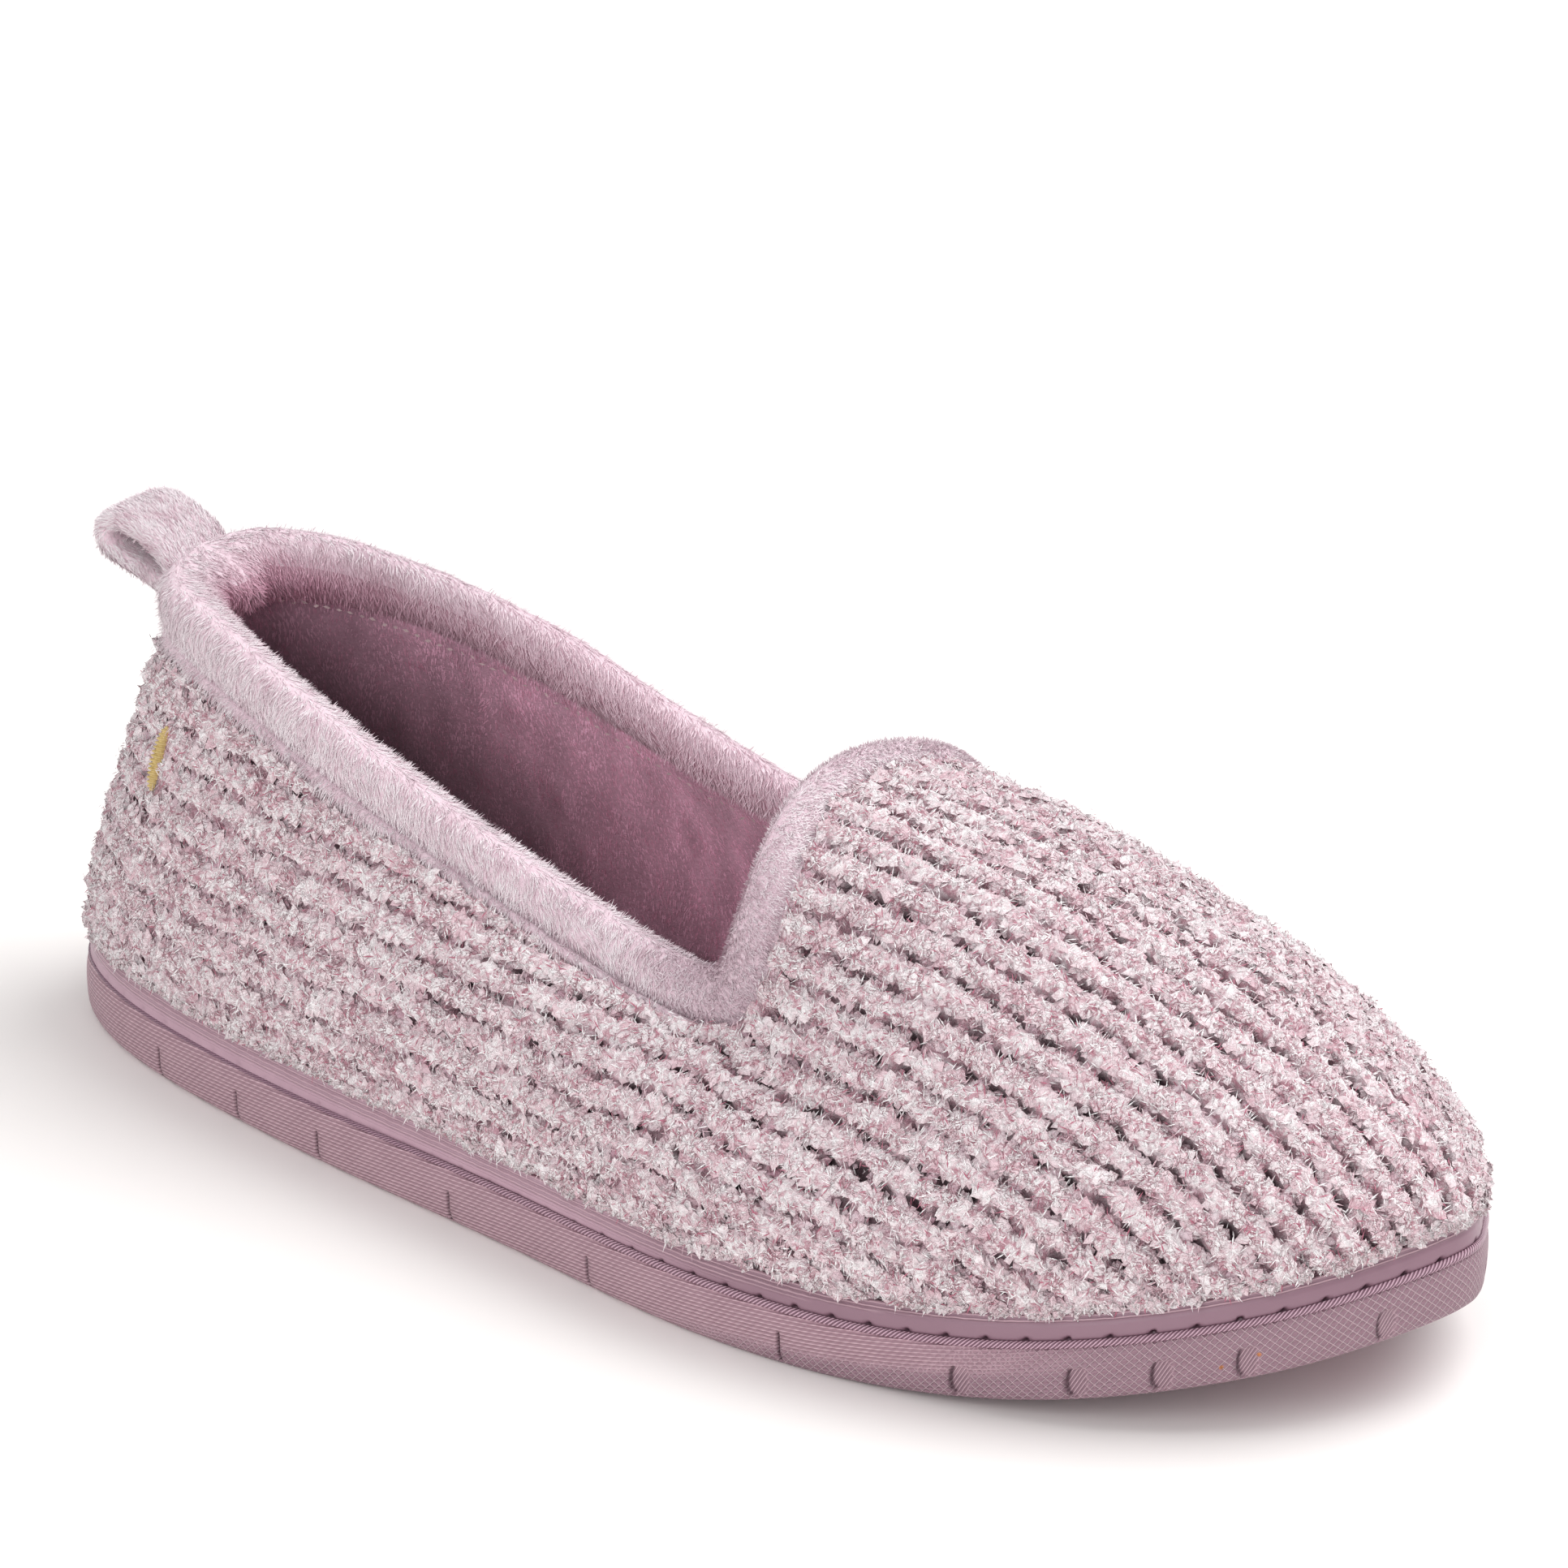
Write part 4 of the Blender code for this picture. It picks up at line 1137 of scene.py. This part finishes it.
seam_places = even_places(arc(table_lines[3]), SEAM_STITCHES // 2)
seam_shares = share_at_drop(seam_places, (SEAM_DROP + collar_shares(seam_places)[5])[None])
seam_out = face_normals(seam_places, seam_shares)[0]
seam_line = face(seam_places, seam_shares)[0] - (WALL + SEAM_PROUD) * seam_out
chooser = np.random.default_rng(81)
seam_along = unit(np.roll(seam_line, -1, 0) - np.roll(seam_line, 1, 0))
seam_along = unit(seam_along + 0.25 * chooser.normal(size=seam_line.shape))
seam_tint = SEAM_THREAD * chooser.uniform(0.75, 1.0, (SEAM_STITCHES, 1))
lengths = chooser.uniform(0.9, 1.3, SEAM_STITCHES)
widths = chooser.uniform(0.5, 0.75, SEAM_STITCHES)
make_blades("seam_stitches", seam_line, seam_along, -seam_out, lengths, widths, seam_tint, seam_tint,
            PILE_SOFTNESS, nap_pile, "collar_binding")

# Pull loop: a plush strap folded in two and sewn under the binding at the back of the heel. It is made of
# the binding's own plush.
LOOP_PATH = np.array((
    # x, z
    (13.6, 70.8), (11.6, 73.3), (8.8, 75.1), (5.6, 76.4), (2.8, 76.8), (0.5, 76.2), (-0.6, 74.6),
    (-0.1, 72.7), (2.0, 71.5), (6.0, 70.3), (10.1, 69.0), (12.8, 68.0),
))
LOOP_WIDTH = 14.0
LOOP_THICKNESS = 3.5
LOOP_STATIONS = 64
LOOP_SIDES = 40
LOOP_BLADES = 12000
LOOP_NAP = 1.9
LOOP_LIFT = 0.2
LOOP_TONE = 0.95


def smooth_path(stops, count):
    """Curve through the stops: each stretch is a cubic whose slopes come from the stops on either side."""
    slopes = np.gradient(stops, axis=0)
    place = np.linspace(0.0, len(stops) - 1.0, count)
    here = np.minimum(place.astype(int), len(stops) - 2)
    return cubic((place - here)[:, None], stops[here], slopes[here], stops[here + 1], slopes[here + 1])


def flattened(wave, power):
    """Wave with its sign kept and its size raised to a power, which squares off a circle."""
    return np.sign(wave) * np.abs(wave) ** power


loop_line = smooth_path(LOOP_PATH, LOOP_STATIONS)
loop_along = unit(np.gradient(loop_line, axis=0))
turn = full_turn(LOOP_SIDES)
across = 0.5 * LOOP_WIDTH * flattened(np.cos(turn), 0.35)
thick = 0.5 * LOOP_THICKNESS * flattened(np.sin(turn), 0.7)
loop_grid = np.stack([loop_line[:, :1] - thick * loop_along[:, 1:],
                      np.broadcast_to(across, (LOOP_STATIONS, LOOP_SIDES)),
                      loop_line[:, 1:] + thick * loop_along[:, :1]], -1)
loop_out = np.cross(np.roll(loop_grid, -1, 1) - np.roll(loop_grid, 1, 1), np.gradient(loop_grid, axis=0))
loop_end = (LOOP_STATIONS - 1) * LOOP_SIDES
loop_quads = ring_quads(LOOP_STATIONS, LOOP_SIDES).tolist()
loop_quads += [list(range(LOOP_SIDES))[::-1], list(range(loop_end, loop_end + LOOP_SIDES))]
loop = make_piece("loop_strap", loop_grid, loop_quads, collar_cloth, "pull_loop")
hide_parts("pull_loop")
strap_grid = closed_round(loop_grid)
strap_ones = np.ones(strap_grid.shape[:2])
brush("loop_nap", strap_grid, closed_round(unit(loop_out)), np.gradient(strap_grid, axis=0), strap_ones,
      np.full(strap_grid.shape, LOOP_TONE), streak=0.55, grain=0.5, count=LOOP_BLADES, seed=61,
      length=LOOP_NAP * strap_ones, width=NAP_WIDTH, lift=LOOP_LIFT * strap_ones, fuzz=0.15, slot="pull_loop")

# Bar tack: a short bar of gold thread, sewn to and fro through the knit near the heel to hold the seam.
# Its turns lie side by side, and it tapers at both ends.
TACK_WIDTH = 1.7
TACK_PROUD = 1.8
TACK_TURNS = 15
TACK_ROWS = 181
TACK_SIDES = 12

tack_column = np.argmin(np.abs(knit_half - np.interp(TACK_EDGE_WAY, table_length, table_places)))
tack_heights = np.linspace(*TACK_HEIGHTS, TACK_ROWS)
tack_line, tack_out = (sampled(tack_heights, knit_up[:, tack_column], rows[:, tack_column])
                       for rows in (knit_face, knit_out))
tack_out = unit(tack_out)[:, None]
tack_side = unit(np.cross(unit(np.gradient(tack_line, axis=0)), tack_out[:, 0]))[:, None]
ends = np.sin(np.pi * np.linspace(0.0, 1.0, TACK_ROWS)) ** 0.3
thread = 0.82 + 0.18 * np.cos(np.linspace(0.0, 2.0 * np.pi * TACK_TURNS, TACK_ROWS))
turn = full_turn(TACK_SIDES)[None, :, None]
girth = 0.5 * TACK_WIDTH * np.cos(turn) * tack_side + TACK_PROUD * np.sin(turn) * tack_out
tack_grid = tack_line[:, None] + (ends * thread)[:, None, None] * girth
gold, tree, shader = new_material("gold_thread", 0.4)
fibres = noise(tree, 2500.0, 3.0)
colour = mixed(tree, fibres, srgb(172, 144, 80), srgb(238, 218, 158))
finish(tree, shader, colour, fibres, strength=0.8, depth=0.0002)
make_piece("bar_tack", tack_grid, ring_quads(TACK_ROWS, TACK_SIDES), gold, "upper")

# Floor, light and camera: a plain white table, a broad soft light from above and behind at the toe's side, a
# fill from the near side in front, and a long lens at the viewing angle of the photograph.
FLOOR_REACH = 3.0
CAMERA_AZIMUTH = np.radians(39.113)
CAMERA_ELEVATION = np.radians(23.435)
CAMERA_DISTANCE = 2323.9
CAMERA_TARGET = np.array((125.0, 0.0, 20.0))
AIM_RIGHT = 3.5
AIM_UP = 40.56
FOCAL_LENGTH = 353.4
LIGHT_TARGET = (0.0, 0.0, 0.03)
LIGHTS = (
    # name, place and size in metres, power in watts
    ("key", (0.55, 0.75, 1.35), 1.4, 24.0),
    ("fill", (0.4, -1.65, 0.9), 1.6, 15.5),
)
SENSOR_WIDTH = 36.0
WORLD_STRENGTH = 0.64

floor_mesh = bpy.data.meshes.new("floor")
floor_signs = ((-1, -1, 0), (1, -1, 0), (1, 1, 0), (-1, 1, 0))
floor_mesh.from_pydata(FLOOR_REACH * np.array(floor_signs), [], [(0, 1, 2, 3)])
table_top, tree, shader = new_material("white_table", 0.7)
feed(tree, shader.inputs["Base Color"], srgb(246, 243, 241))
floor_mesh.materials.append(table_top)
floor = bpy.data.objects.new("floor", floor_mesh)
bpy.context.scene.collection.objects.link(floor)


def aim(thing, place, target):
    """Puts an object into the scene, places it and turns its -Z axis to the target."""
    bpy.context.scene.collection.objects.link(thing)
    thing.location = place
    thing.rotation_euler = (Vector(target) - Vector(place)).to_track_quat("-Z", "Y").to_euler()


for name, place, size, power in LIGHTS:
    light = bpy.data.lights.new(name, "AREA")
    light.shape = "SQUARE"
    light.size = size
    light.energy = power
    aim(bpy.data.objects.new(name, light), place, LIGHT_TARGET)
world = bpy.data.worlds.new("studio")
world.use_nodes = True
world.node_tree.nodes["Background"].inputs["Color"].default_value = (1.0, 1.0, 1.0, 1.0)
world.node_tree.nodes["Background"].inputs["Strength"].default_value = WORLD_STRENGTH
bpy.context.scene.world = world
bpy.context.scene.view_settings.view_transform = "Standard"

right = np.array((np.cos(CAMERA_AZIMUTH), np.sin(CAMERA_AZIMUTH), 0.0))
level_back = np.array((right[1], -right[0], 0.0))
back = np.cos(CAMERA_ELEVATION) * level_back + np.sin(CAMERA_ELEVATION) * np.array((0.0, 0.0, 1.0))
up = np.cross(back, right)
target = (CAMERA_TARGET + shift + AIM_RIGHT * right + AIM_UP * up) * 0.001
camera_data = bpy.data.cameras.new("camera")
camera_data.sensor_width = SENSOR_WIDTH
camera_data.lens = FOCAL_LENGTH
camera_data.clip_end = 50.0
camera = bpy.data.objects.new("camera", camera_data)
aim(camera, target + CAMERA_DISTANCE * 0.001 * back, target)
bpy.context.scene.camera = camera
